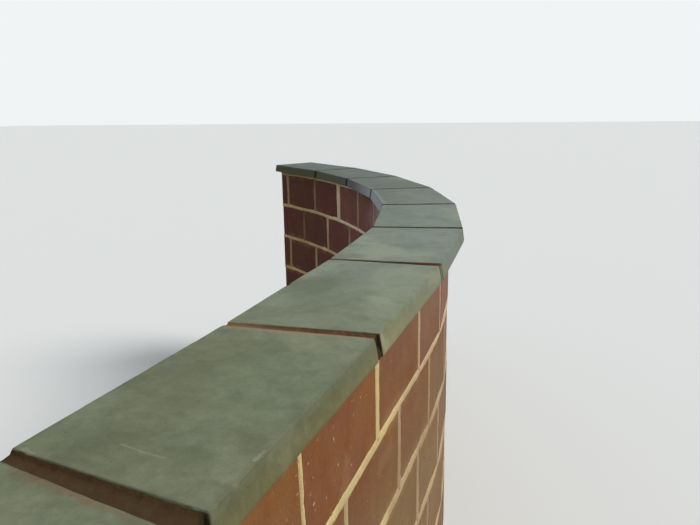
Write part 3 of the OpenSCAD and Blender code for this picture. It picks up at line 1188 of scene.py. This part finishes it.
def clay_base(nodes, mottle, colours, radius):
    """Colour of the clay: greyer brown in the lower courses, a painted haze of light on the outside
    further along and higher up, painted shade inside the curve over a partly darker clay, and
    painted light nearer the straight run.
    """
    run, height = nodes.read("run"), nodes.split(nodes.where)[2]
    # Greyer brown in the lower courses
    lower_courses = nodes.ramp(nodes.plus(height, nodes.times(mottle["Patches"], 0.2)), 0.80, 1.2, 1.0, 0.0)
    # Painted light: the outside clay is painted towards a pale haze further along and higher up
    risen = nodes.plus(run, nodes.times(nodes.minus(height, 1.16), 1.7))
    outside = nodes.coated(
        colours.clay,
        (lower_courses, colours.clay_lower_courses),
        (nodes.ramp(risen, -0.6, 0.3, 0.0, 0.38), colours.clay_light_haze))
    # Painted light: the inside clay is painted paler nearer the straight run
    nearer = nodes.ramp(run, 2.0, 2.3, 1.0, 0.0)
    inside = nodes.blend(nearer, colours.clay_inside_shaded, colours.clay_inside_lit)
    inside = nodes.stained(inside, [lime_mark(colours, radius)])
    # Partly painted shade: the inside face takes the darker inside clay
    return nodes.blend(nodes.inside(), outside, inside)


def clay_film(nodes, mottle, streak, rough):
    """Mask of the mortar left on the clay: a wash beside the beds, faint streaks and spots."""
    wash = nodes.times(nodes.ramp(nodes.read("to_bed"), 0.0, 0.035, 1.0, 0.0),
                       nodes.ramp(mottle["Patches"], 0.47, 0.6, 0.0, 0.24))
    haze = nodes.times(nodes.ramp(streak["Fine streaks"], 0.60, 0.78, 0.0, 0.10), rough)
    spots = nodes.add("ShaderNodeTexVoronoi", {"Vector": nodes.where, "Scale": 60.0}).outputs
    chosen = nodes.ramp(nodes.split(spots["Color"])[0], 0.74, 0.80)
    spot = nodes.times(nodes.ramp(spots["Distance"], 0.08, 0.24, 0.40, 0.0), chosen)
    return nodes.math("MAXIMUM", nodes.math("MAXIMUM", wash, haze), spot)


def clay_material(colours, radius):
    """Smooth fired clay: a cloudy tone, faint upright streaks, a film of mortar and pale spots."""
    nodes = Finish("Fired clay", 0.72)
    mottle = nodes.mottle(1.0)
    streak = nodes.use("Streaks", streak_group, Fineness=38.0)
    rough = nodes.ramp(nodes.split(nodes.where)[0], -0.68, -0.45, 1.0, 0.6)
    detail = nodes.times(nodes.ramp(streak["Streaks"], 0.35, 0.65, 0.97, 1.03),
                         nodes.ramp(mottle["Speckle"], 0.3, 0.7, 0.91, 1.09),
                         nodes.ramp(mottle["Grain"], 0.3, 0.7, 0.90, 1.10))
    value = nodes.times(nodes.plus(0.94, nodes.times(nodes.read("tone"), 0.12)),
                        nodes.ramp(mottle["Patches"], 0.35, 0.65, 0.92, 1.07),
                        nodes.mix(rough, 1.0, detail))
    shift = nodes.plus(nodes.times(nodes.minus(mottle["Patches"], 0.5), 0.045),
                       nodes.times(nodes.minus(nodes.read("tint"), 0.5), 0.012))
    faded = nodes.ramp(nodes.noise(nodes.where, 14.0, 3.0, 0.6), 0.36, 0.64, 1.03, 0.965)
    colour = nodes.tuned(clay_base(nodes, mottle, colours, radius),
                         Hue=nodes.plus(0.5, shift), Value=value, Saturation=faded)
    film = clay_film(nodes, mottle, streak, rough)
    colour = nodes.blend(film, colour, colours.film)
    face = -WALL_T / 2
    colour = nodes.stained(colour, (
        ((-0.664, face, 1.100), (-0.664, face, 1.066), 0.036, 0.17, colours.film),
        ((-0.46, face, 0.985), (-0.38, face, 0.995), 0.030, 0.10, colours.film),
    ))
    bumps = nodes.plus(nodes.times(streak["Fine streaks"], 0.3),
                       nodes.times(mottle["Speckle"], 0.5), nodes.times(film, 0.6))
    return nodes.done(colour, bumps, 0.0006)


def mortar_base(nodes, mottle, colours, radius):
    """Colour of the mortar: rosy on the curve, inside it painted paler and pinker nearer the
    straight run as painted light, painted shade and dirt under the slabs, and rubbed with dust in
    places.
    """
    along, height = nodes.read("along"), nodes.split(nodes.where)[2]
    # Painted shade and dirt: the upper part of the bed on the inside is painted darker just under
    # the slabs' overhang
    shade_under_slabs = nodes.times(nodes.ramp(height, 1.25, 1.262),
                              nodes.ramp(along, 2.1, 2.8, 0.25, 0.8))
    inside = nodes.coated(
        colours.mortar_inside,
        # Painted light: paler, pinker inside mortar nearer the straight run
        (nodes.ramp(along, 2.0, 2.6, 1.0, 0.0), colours.mortar_inside_lit),
        (shade_under_slabs, colours.mortar_dirty))
    inside = nodes.stained(inside, [lime_mark(colours, radius)])
    low_beds = nodes.times(nodes.ramp(height, 0.98, 1.03, 0.25, 0.0),
                           nodes.ramp(along, -0.5, -0.25))
    outside = nodes.coated(
        colours.mortar,
        (nodes.ramp(along, -0.5, -0.25, 0.0, 0.75), colours.mortar_rosy),
        (low_beds, colours.mortar_dirty))
    dirt = nodes.times(nodes.read("dirt"), nodes.ramp(mottle["Patches"], 0.35, 0.65, 0.75, 1.2))
    grubby = nodes.times(nodes.ramp(nodes.noise(nodes.where, 6.0, 2.0), 0.48, 0.62),
                         nodes.ramp(height, 0.95, 1.06, 0.4, 0.12))
    return nodes.coated(
        nodes.blend(nodes.inside(), outside, inside),
        (nodes.math("MINIMUM", dirt, 1.0), colours.mortar_dirty),
        (nodes.ramp(dirt, 1.1, 1.7, 0.0, 0.7), colours.clay_inside_shaded),
        (grubby, colours.mortar_dirty))


def mortar_material(colours, radius):
    """Pale sandy mortar, dirty in places."""
    nodes = Finish("Joint mortar", 0.92)
    mottle = nodes.mottle(1.3)
    value = nodes.times(nodes.ramp(mottle["Patches"], 0.35, 0.65, 0.9, 1.09),
                        nodes.ramp(mottle["Speckle"], 0.3, 0.7, 0.92, 1.08))
    shift = nodes.times(nodes.minus(mottle["Speckle"], 0.5), 0.06)
    strong = nodes.ramp(mottle["Patches"], 0.35, 0.65, 0.94, 1.1)
    colour = nodes.tuned(mortar_base(nodes, mottle, colours, radius),
                         Hue=nodes.plus(0.5, shift), Value=value, Saturation=strong)
    bumps = nodes.plus(mottle["Speckle"], nodes.times(mottle["Grain"], 0.6))
    return nodes.done(colour, bumps, 0.0009)


def splash_material(colours):
    """Dried drops of mortar that have taken up the colour of the clay."""
    nodes = Finish("Splashed mortar", 0.9)
    mottle = nodes.mottle(1.5)
    colour = nodes.coated(
        colours.splash,
        (nodes.inside(), colours.mortar_dirty),
        (nodes.ramp(mottle["Patches"], 0.35, 0.65, 0.0, 0.35), colours.clay))
    return nodes.done(colour, mottle["Speckle"], 0.0008)


def coping_marks(colours, radius):
    """Marks on the coping's top and edges, from smears beside the joints to scratches."""
    top = SLAB_HIGH.z
    pale, dark = colours.concrete_pale, colours.concrete_dark

    def at(run, side, below=0.0):
        return (*place(run, side, radius), top - below)

    return (
        # mortar rubbed into the slabs beside the widest joints
        (at(-1.108, 0.120), at(-1.136, 0.000), 0.011, 0.50, colours.smear_brown),
        (at(-1.136, 0.000), at(-1.160, -0.100), 0.006, 0.40, colours.smear_brown),
        (at(-0.629, 0.125), at(-0.625, 0.010), 0.011, 0.55, colours.smear),
        (at(-0.624, 0.010), at(-0.620, -0.125), 0.005, 0.70, colours.smear),
        (at(-0.083, 0.125), at(-0.069, -0.125), 0.004, 0.60, colours.smear),
        # rubbed and chalky places of the outer edge
        (at(-0.583, -0.143, 0.012), at(-0.562, -0.146, 0.034), 0.014, 0.80, pale),
        (at(-0.210, -0.142, 0.006), at(-0.092, -0.146, 0.020), 0.020, 0.52, pale),
        (at(-0.985, -0.142, 0.008), at(-0.925, -0.143, 0.010), 0.036, 0.16, pale),
        (at(-0.998, -0.1225), at(-1.020, -0.1210), 0.0036, 0.60, pale),
        (at(-1.066, -0.125), at(-1.080, -0.130), 0.006, 0.35, pale),
        # scratch and chalk marks just beyond the widest joint
        (at(-1.032, 0.042), at(-1.040, 0.006), 0.0024, 0.42, pale),
        (at(-1.040, 0.006), at(-1.044, -0.024), 0.0024, 0.34, pale),
        (at(-1.075, 0.140), at(-1.081, 0.124), 0.007, 0.35, pale),
        # darker, damp patches
        (at(-0.975, -0.095), at(-1.000, -0.112), 0.022, 0.30, dark),
        (at(-0.885, -0.112), at(-0.912, -0.126), 0.018, 0.28, dark),
        (at(-1.062, -0.1255), at(-1.064, -0.1275), 0.003, 0.60, dark),
        (at(-1.1135, -0.1240), at(-1.1140, -0.1245), 0.003, 0.80, colours.shade_and_grime),
        (at(-1.1150, -0.1300), at(-1.1160, -0.1305), 0.003, 0.80, colours.shade_and_grime),
    )


def coping_patches(colours, radius):
    """Wide pale and dark patches of the coping's top."""
    worn, dark = colours.concrete_worn, colours.concrete_dark
    patches = (
        (-0.690, -0.125, -0.660, -0.060, 0.100, 0.24, colours.concrete_pale),
        (-0.560, -0.120, -0.560, 0.060, 0.050, 0.16, worn),
        (-0.340, -0.115, -0.180, -0.080, 0.100, 0.36, worn),
        (-0.460, 0.110, -0.420, 0.130, 0.070, 0.24, worn),
        (-0.480, -0.125, -0.420, -0.090, 0.060, 0.34, worn),
        (-0.250, 0.125, -0.160, 0.130, 0.060, 0.30, worn),
        (-0.010, -0.030, 0.020, 0.075, 0.100, 0.52, worn),
        (0.130, 0.105, 0.180, 0.125, 0.060, 0.36, worn),
        (0.560, -0.130, 0.740, -0.130, 0.060, 0.30, worn),
        (1.740, -0.125, 1.780, -0.115, 0.070, 0.35, worn),
        (-0.860, 0.110, -0.720, 0.070, 0.110, 0.42, dark),
        (-1.060, 0.060, -1.030, 0.020, 0.100, 0.45, dark),
        (-0.360, 0.110, -0.320, 0.085, 0.090, 0.50, dark),
        (-0.450, -0.050, -0.430, -0.035, 0.045, 0.22, dark),
        (1.480, -0.130, 1.500, 0.130, 0.150, 0.34, dark),
        (-1.060, 0.120, -1.050, 0.060, 0.060, 0.25, dark),
    )
    top = SLAB_HIGH.z
    return [((*place(run, side, radius), top), (*place(to_run, to_side, radius), top), *rest)
            for run, side, to_run, to_side, *rest in patches]


# How strongly the inner long edges take their painted shade colours, for the shade inside the curve
INNER_EDGE_SHADE = 0.85
# Colour of the shadow in the far joints on the inside, linear
DEEP_SHADOW = (0.008, 0.008, 0.006)


def coping_top(nodes, colours, broad, small):
    """Colour of the slabs' tops: olive on the straight, painted paler and cooler on the curve as
    painted light, painted darker towards the near end as painted shade, sooty far on, and darker
    over the inner half on the curve.
    """
    run, where = nodes.read("run"), nodes.where
    smudge = nodes.noise(nodes.vector("MULTIPLY", where, (1.0, 0.8, 1.0)), 26.0, 4.0, 0.6)
    # Darker over the inner half of the tops on the curve
    darker_inner_half = nodes.times(nodes.ramp(nodes.read("side"), -0.04, 0.13),
                            nodes.ramp(run, 0.2, 1.1, 0.10, 0.36))
    return nodes.coated(
        colours.concrete,
        # Painted light: paler and cooler on the curve
        (nodes.ramp(run, -0.8, 0.2), colours.concrete_lit_curve),
        (nodes.ramp(run, 0.25, 2.35), colours.concrete_far),
        # Painted shade: darker towards the near end, away from the bright light beyond
        (nodes.ramp(run, -1.0, -1.35, 0.0, 0.28), colours.concrete_dark),
        (nodes.ramp(nodes.noise(where, 7.0, 3.0, 0.55), 0.40, 0.62, 0.0, 0.40),
         colours.concrete_teal),
        (nodes.ramp(broad["Patches"], 0.36, 0.52, 0.32, 0.0), colours.concrete_dark),
        (nodes.ramp(small["Patches"], 0.48, 0.64, 0.0, 0.24), colours.concrete_pale),
        (nodes.ramp(smudge, 0.34, 0.50, 0.26, 0.0), colours.concrete_dark),
        (darker_inner_half, colours.concrete_dark))


def coping_edge(nodes, colours, top, inner):
    """Colour of the slabs' long edges: mossy at the foot, chalky beyond the second joint, and
    painted shade colours on the inner edges.
    """
    run, rise = nodes.read("run"), nodes.read("rise")
    chalky = nodes.times(
        nodes.ramp(run, -0.62, -0.58), nodes.ramp(run, -0.58, -0.35, 0.55, 0.20),
        nodes.ramp(run, -0.10, -0.06, 1.0, 0.0), nodes.ramp(rise, 0.3, 0.9, 1.0, 0.65))
    outer_edge = nodes.coated(
        colours.concrete_edge,
        (nodes.ramp(rise, 0.15, 0.85, 1.0, 0.0), colours.concrete_foot),
        (nodes.ramp(run, -0.95, -0.25, 0.0, 0.72), top),
        (chalky, colours.edge_chalky),
        # A little of the inner edges' painted shade colour on the outer edge, past the start of the
        # curve
        (nodes.ramp(run, -0.08, 0.10, 0.0, 0.16), colours.edge_shade))
    # Painted shade: the inner edges take a shaded copy of the edge colour
    shaded_inner_edge = nodes.coated(
        colours.edge_shade,
        (nodes.ramp(run, 1.6, 2.4), colours.edge_shade_far),
        (nodes.ramp(rise, 0.0, 0.6, 0.22, 0.0), colours.concrete_edge))
    return nodes.blend(nodes.times(inner, nodes.ramp(run, -0.5, 0.8)), outer_edge, shaded_inner_edge)


def coping_arrises(nodes, colours, top, edge, small):
    """The tops and long edges together, with the arrises painted towards the edge colour as painted
    shade against their sun highlight, rubbed arrises, and lime on the inner ones.
    """
    run, to_edge, on_top = nodes.read("run"), nodes.read("to_edge"), nodes.read("on_top")
    at_arris = nodes.times(nodes.ramp(to_edge, 0.0, 0.010, 1.0, 0.0),
                           nodes.ramp(nodes.read("rise"), 0.6, 1.0))
    rubbed = nodes.times(at_arris, nodes.ramp(small["Patches"], 0.54, 0.64))
    by_run = nodes.times(nodes.ramp(run, 0.6, 1.0), nodes.ramp(run, 1.3, 1.8, 0.8, 0.0))
    by_side = nodes.times(nodes.math("GREATER_THAN", nodes.read("side"), 0.0),
                          nodes.ramp(to_edge, 0.0, 0.03, 1.0, 0.0))
    limed = nodes.times(by_run, by_side, nodes.ramp(on_top, 0.0, 1.0, 1.0, 0.25))
    return nodes.coated(
        nodes.blend(on_top, edge, top),
        # Painted shade: the arrises are painted halfway between edge and top, which takes away the
        # highlight that the sun puts on them
        (nodes.times(at_arris, 0.7), nodes.blend(0.5, edge, top)),
        (nodes.times(rubbed, 0.3), colours.concrete_pale),
        (limed, colours.bloom))


def coping_ends(nodes, colours, colour, small, inner):
    """The colour with painted shade and dirt beside the joints, painted shadow in the far joints on
    the inside, and the slabs' faces in the joints.
    """
    run, to_joint, on_end = nodes.read("run"), nodes.read("to_joint"), nodes.read("on_end")
    # Painted shade and dirt beside the joints, wider further on
    reach = nodes.ramp(run, -0.2, 0.7, 0.0035, 0.011)
    shade_and_grime = nodes.times(nodes.ramp(nodes.over(to_joint, reach), 0.35, 1.0, 1.0, 0.0),
                        nodes.ramp(small["Patches"], 0.40, 0.6, 0.95, 0.55),
                        nodes.ramp(run, -0.2, 0.4, 0.45, 1.0))
    shadow = nodes.times(nodes.ramp(to_joint, 0.006, 0.014, 1.0, 0.0), inner,
                         nodes.ramp(run, 1.2, 1.6), nodes.minus(1.0, nodes.read("on_top")))
    reddened = nodes.times(nodes.ramp(run, -0.9, -0.7), nodes.ramp(run, -0.3, -0.1, 1.0, 0.0))
    end_face = nodes.coated(
        colours.concrete_joint,
        (nodes.ramp(run, -0.9, -0.3), colours.concrete_joint_dark),
        (reddened, colours.concrete_red),
        # Painted shade: the end faces are painted dark towards the slabs' long edges, where light
        # reaches further into the joint
        (nodes.ramp(nodes.read("to_edge"), 0.004, 0.03, 0.95, 0.0), colours.joint))
    return nodes.coated(colour, (shade_and_grime, colours.shade_and_grime), (shadow, DEEP_SHADOW), (on_end, end_face))


def coping_tone(nodes, broad, pit):
    """How light the concrete is: its own tone, speckle and grain, arrises painted darker as painted
    shade against their sun highlight, strokes, pits.
    """
    # Painted shade: the arrises are painted darker, against the highlight that the sun puts on them
    on_arris = nodes.times(nodes.ramp(nodes.read("to_edge"), 0.0, 0.0034, 1.0, 0.0),
                           nodes.ramp(nodes.read("rise"), 0.86, 0.98))
    drawn = nodes.vector("MULTIPLY", nodes.where, (1.2, 0.9, 1.0))
    strokes = nodes.noise(drawn, 36.0, 2.0, 0.4, distortion=0.7)
    strokes = nodes.mix(nodes.ramp(nodes.read("run"), -0.8, -0.4, 1.0, 0.2), 1.0,
                        nodes.ramp(strokes, 0.3, 0.7, 0.93, 1.07))
    return nodes.times(
        nodes.plus(0.985, nodes.times(nodes.read("tone"), 0.03)),
        nodes.ramp(broad["Speckle"], 0.25, 0.75, 0.95, 1.05),
        nodes.ramp(broad["Grain"], 0.25, 0.75, 0.95, 1.05),
        nodes.minus(1.0, nodes.times(on_arris, 0.17)),
        strokes,
        nodes.minus(1.0, nodes.times(pit, 0.35)))


def concrete_material(colours, radius):
    """Smooth trowelled concrete with worn edges, pits, stains, and painted shade and dirt beside
    the joints.
    """
    nodes = Finish("Coping concrete", 0.78)
    broad, small = nodes.mottle(1.0), nodes.mottle(2.6)
    pits = nodes.add("ShaderNodeTexVoronoi", {"Vector": nodes.where, "Scale": 75.0}).outputs
    pit = nodes.times(nodes.ramp(pits["Distance"], 0.04, 0.12, 1.0, 0.0),
                      nodes.ramp(nodes.split(pits["Color"])[0], 0.93, 0.96))
    # Share of the painted shade colours on the inner side
    inner = nodes.times(nodes.math("GREATER_THAN", nodes.read("side"), 0.0), INNER_EDGE_SHADE)
    top = coping_top(nodes, colours, broad, small)
    edge = coping_edge(nodes, colours, top, inner)
    top = nodes.stained(top, coping_patches(colours, radius))
    colour = coping_arrises(nodes, colours, top, edge, small)
    colour = nodes.stained(colour, coping_marks(colours, radius))
    colour = coping_ends(nodes, colours, colour, small, inner)
    colour = nodes.tuned(colour, Value=coping_tone(nodes, broad, pit))
    nodes.link(nodes.shader, {"Roughness": nodes.ramp(broad["Patches"], 0.3, 0.7, 0.7, 0.86)})
    height = nodes.plus(small["Patches"], nodes.times(broad["Speckle"], 0.35))
    return nodes.done(colour, nodes.minus(height, pit), 0.0007)


def joint_material(colours):
    """Dark brown mortar, deep in the joints between the slabs."""
    nodes = Finish("Brown joint mortar", 0.95)
    mottle = nodes.mottle(2.0)
    run, at_edge = nodes.read("run"), nodes.read("at_edge")
    farther = nodes.ramp(run, -0.4, -0.2)
    filled = nodes.times(nodes.read("filled"), nodes.mix(farther, 1.0, at_edge))
    reddened = nodes.times(nodes.ramp(run, -0.9, -0.7), nodes.ramp(run, -0.3, -0.1, 0.85, 0.35))
    end = nodes.blend(nodes.ramp(nodes.read("depth"), 0.3, 0.9), colours.joint_olive,
                      colours.joint)
    filling = nodes.blend(farther, colours.joint_filled, colours.joint_flush)
    colour = nodes.coated(
        colours.joint,
        (nodes.ramp(mottle["Patches"], 0.42, 0.6), colours.joint_olive),
        (reddened, colours.joint_red),
        (at_edge, end),
        (nodes.times(filled, 0.9), filling))
    # Painted shade: the sunk ends of a joint are painted darker, for the shade in their recess
    sunk_end_shade = nodes.times(at_edge, nodes.minus(1.0, filled))
    value = nodes.times(nodes.ramp(mottle["Patches"], 0.3, 0.7, 0.85, 1.12),
                        nodes.ramp(mottle["Speckle"], 0.2, 0.8, 0.94, 1.06),
                        # Painted shade: darker towards the near slab, whose rim hides that side of
                        # the joint
                        nodes.ramp(nodes.read("across"), 0.0, 0.55, 0.86, 1.0),
                        nodes.ramp(sunk_end_shade, 0.0, 1.0, 1.0, 0.6))
    return nodes.done(nodes.tuned(colour, Value=value), mottle["Speckle"], 0.0006)


# The stage. Colours are linear, and lengths are in metres
FLOOR_REACH = 60.0
FLOOR_ON_WALL = (0.34, 0.34, 0.33)
SKY_ON_WALL, SKY_SEEN = (0.93, 0.97, 1.0), (0.88, 0.9, 0.91)
SKY_STRENGTH, SKY_STRENGTH_SEEN = 0.47, 1.0
SUN_STRENGTH, SUN_COLOUR = 2.5, (1.0, 0.98, 0.94)
SUN_WIDTH = math.radians(25)
SUN_FROM = (0.2, -0.8, 0.7)
SENSOR_MM = 36.0
SEEN_FROM, SEEN_TO = 0.01, 200.0


def seen(nodes):
    """Whether a ray shows the background: from the camera, in a reflection or through glass."""
    path = nodes.add("ShaderNodeLightPath").outputs
    mirrored = nodes.math("MAXIMUM", path["Is Glossy Ray"], path["Is Transmission Ray"])
    return nodes.math("MAXIMUM", path["Is Camera Ray"], mirrored)


def set_floor(colours):
    """A plain pale floor that is no part of the wall."""
    reach = FLOOR_REACH
    corners = [(-reach, -reach, 0), (reach, -reach, 0), (reach, reach, 0), (-reach, reach, 0)]
    mesh = bpy.data.meshes.new("floor")
    mesh.from_pydata(corners, [], [(0, 1, 2, 3)])
    floor = linked("floor", mesh)
    nodes = Finish("Pale floor", 0.9)
    colour = nodes.blend(seen(nodes), FLOOR_ON_WALL, colours.floor)
    nodes.link(nodes.shader, {"Base Color": colour})
    mesh.materials.append(nodes.material)


def set_light():
    """Soft light from all round, and a wide sun from the outside of the wall."""
    world = bpy.data.worlds.new("Studio")
    bpy.context.scene.world = world
    world.use_nodes = True
    nodes = Nodes(world.node_tree)
    shown = seen(nodes)
    nodes.link(world.node_tree.nodes["Background"], {
        "Color": nodes.blend(shown, SKY_ON_WALL, SKY_SEEN),
        "Strength": nodes.mix(shown, SKY_STRENGTH, SKY_STRENGTH_SEEN)})
    sun = bpy.data.lights.new("key", "SUN")
    sun.energy, sun.angle, sun.color = SUN_STRENGTH, SUN_WIDTH, SUN_COLOUR
    key = linked("key", sun)
    key.rotation_mode = "QUATERNION"
    key.rotation_quaternion = Vector(SUN_FROM).to_track_quat("Z", "Y")


def set_camera(camera):
    """The camera at the place that the sizes give."""
    lens = bpy.data.cameras.new("camera")
    lens.lens, lens.sensor_width = camera.lens, SENSOR_MM
    lens.clip_start, lens.clip_end = SEEN_FROM, SEEN_TO
    eye = linked("camera", lens)
    spot = Matrix.Translation((camera.along, -camera.outward, SLAB_HIGH.z + camera.above))
    turn = Matrix.Rotation(camera.heading - math.pi / 2, 4, "Z")
    tilt = Matrix.Rotation(math.pi / 2 - camera.pitch, 4, "X")
    roll = Matrix.Rotation(camera.roll, 4, "Z")
    eye.matrix_world = spot @ turn @ tilt @ roll
    bpy.context.scene.camera = eye


def labelled(group):
    """The values of a property group under their labels, as a tree names its inputs."""
    keys = type(group).__annotations__
    return {group.bl_rna.properties[key].name: getattr(group, key) for key in keys}


def dress(piece, nodes):
    """Fixes a finished piece to the wall in place of these nodes."""
    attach(piece, BODY)
    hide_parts(*nodes)


class GARDENWALL_OT_units(bpy.types.Operator):
    """Lays the clay units of every bay"""

    bl_idname = "gardenwall.units"
    bl_label = "Clay units"

    def execute(self, context):
        scene = context.scene
        sizes = scene.garden_wall
        inputs = {"Wall thickness": WALL_T, "Unit height": sizes.unit_height,
                  "Unit arris": sizes.unit_arris, "Unit bulge": sizes.unit_bulge,
                  "Unevenness": sizes.unevenness}
        rows = unit_rows(sizes)
        tree = unit_tree(inputs)
        material = clay_material(scene.garden_wall_colours, sizes.curve_radius)
        for name, first, last, walls, _ in bays():
            of_bay = [row for row in rows if first <= row["run"] < last]
            source = points_object("layout", of_bay)
            piece = grown(source, tree, inputs, f"clay_units_{name}", material, False)
            dress(piece, walls)
        return {"FINISHED"}


class GARDENWALL_OT_mortar(bpy.types.Operator):
    """Lays the bed joints and upright joints of every bay"""

    bl_idname = "gardenwall.mortar"
    bl_label = "Mortar joints"

    def execute(self, context):
        scene = context.scene
        sizes = scene.garden_wall
        inputs = {"Wall thickness": WALL_T, "Curve radius": sizes.curve_radius,
                  **labelled(scene.garden_wall_mortar)}
        tree = mortar_tree(inputs)
        material = mortar_material(scene.garden_wall_colours, sizes.curve_radius)
        for name, first, last, walls, beds in bays():
            source = points_object("layout", mortar_rows(sizes, first, last))
            piece = grown(source, tree, inputs, f"mortar_{name}", material, True)
            dress(piece, walls + beds)
        return {"FINISHED"}


class GARDENWALL_OT_splashes(bpy.types.Operator):
    """Scatters dried mortar splashes over the units"""

    bl_idname = "gardenwall.splashes"
    bl_label = "Mortar splashes"

    def execute(self, context):
        scene = context.scene
        sizes = scene.garden_wall
        inputs = {"Wall thickness": WALL_T, "Curve radius": sizes.curve_radius}
        source = points_object("layout", splash_rows(sizes.splashes))
        material = splash_material(scene.garden_wall_colours)
        tree = splash_tree(inputs)
        piece = grown(source, tree, inputs, "mortar_splashes", material, True)
        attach(piece, BODY)
        return {"FINISHED"}


class GARDENWALL_OT_slabs(bpy.types.Operator):
    """Makes the coping slabs"""

    bl_idname = "gardenwall.slabs"
    bl_label = "Coping slabs"

    def execute(self, context):
        scene = context.scene
        coping, radius = scene.garden_wall_coping, scene.garden_wall.curve_radius
        chance = random.Random(SLAB_SEED)
        material = concrete_material(scene.garden_wall_colours, radius)
        slabs = nodes_named("coping_slab_")
        for node in slabs:
            name = node.replace("coping_slab", "slab")
            joined = (node != slabs[0], node != slabs[-1])
            piece = dressed_slab(name, node, coping, radius, joined, chance.random(), material)
            dress(piece, [node])
        return {"FINISHED"}


class GARDENWALL_OT_joints(bpy.types.Operator):
    """Fills the joints between the coping slabs"""

    bl_idname = "gardenwall.joints"
    bl_label = "Coping joints"

    def execute(self, context):
        scene = context.scene
        coping, radius = scene.garden_wall_coping, scene.garden_wall.curve_radius
        material = joint_material(scene.garden_wall_colours)
        for node in nodes_named("coping_joint_"):
            name = node.replace("coping_joint", "slab_joint")
            piece = dressed_joint(name, node, coping, radius, material)
            dress(piece, [node])
        return {"FINISHED"}


class GARDENWALL_OT_stage(bpy.types.Operator):
    """Sets the floor, the light and the camera"""

    bl_idname = "gardenwall.stage"
    bl_label = "Stage"

    def execute(self, context):
        scene = context.scene
        set_floor(scene.garden_wall_colours)
        set_light()
        set_camera(scene.garden_wall_camera)
        scene.view_settings.view_transform = "Standard"
        return {"FINISHED"}


OPERATORS = (GARDENWALL_OT_units, GARDENWALL_OT_mortar, GARDENWALL_OT_splashes,
             GARDENWALL_OT_slabs, GARDENWALL_OT_joints, GARDENWALL_OT_stage)


class GARDENWALL_PT_panel(bpy.types.Panel):
    """Lists the steps of the wall in the sidebar"""

    bl_idname = "GARDENWALL_PT_panel"
    bl_label = "Garden wall"
    bl_space_type = "VIEW_3D"
    bl_region_type = "UI"
    bl_category = "Garden wall"

    def draw(self, context):
        for operator in OPERATORS:
            self.layout.operator(operator.bl_idname)


GROUPS = {
    "garden_wall": WallSizes,
    "garden_wall_mortar": MortarSizes,
    "garden_wall_coping": CopingSizes,
    "garden_wall_colours": WallColours,
    "garden_wall_camera": CameraPlace,
}


def register():
    """Makes the values, the operators and the panel known."""
    for name, group in GROUPS.items():
        bpy.utils.register_class(group)
        setattr(bpy.types.Scene, name, bpy.props.PointerProperty(type=group))
    for kind in (*OPERATORS, GARDENWALL_PT_panel):
        bpy.utils.register_class(kind)


def unregister():
    """Takes them away again."""
    for kind in (GARDENWALL_PT_panel, *reversed(OPERATORS)):
        bpy.utils.unregister_class(kind)
    for name, group in GROUPS.items():
        delattr(bpy.types.Scene, name)
        bpy.utils.unregister_class(group)


def main():
    """Builds every piece in order."""
    register()
    for operator in OPERATORS:
        group, name = operator.bl_idname.split(".")
        getattr(getattr(bpy.ops, group), name)()


if __name__ == "__main__":
    main()
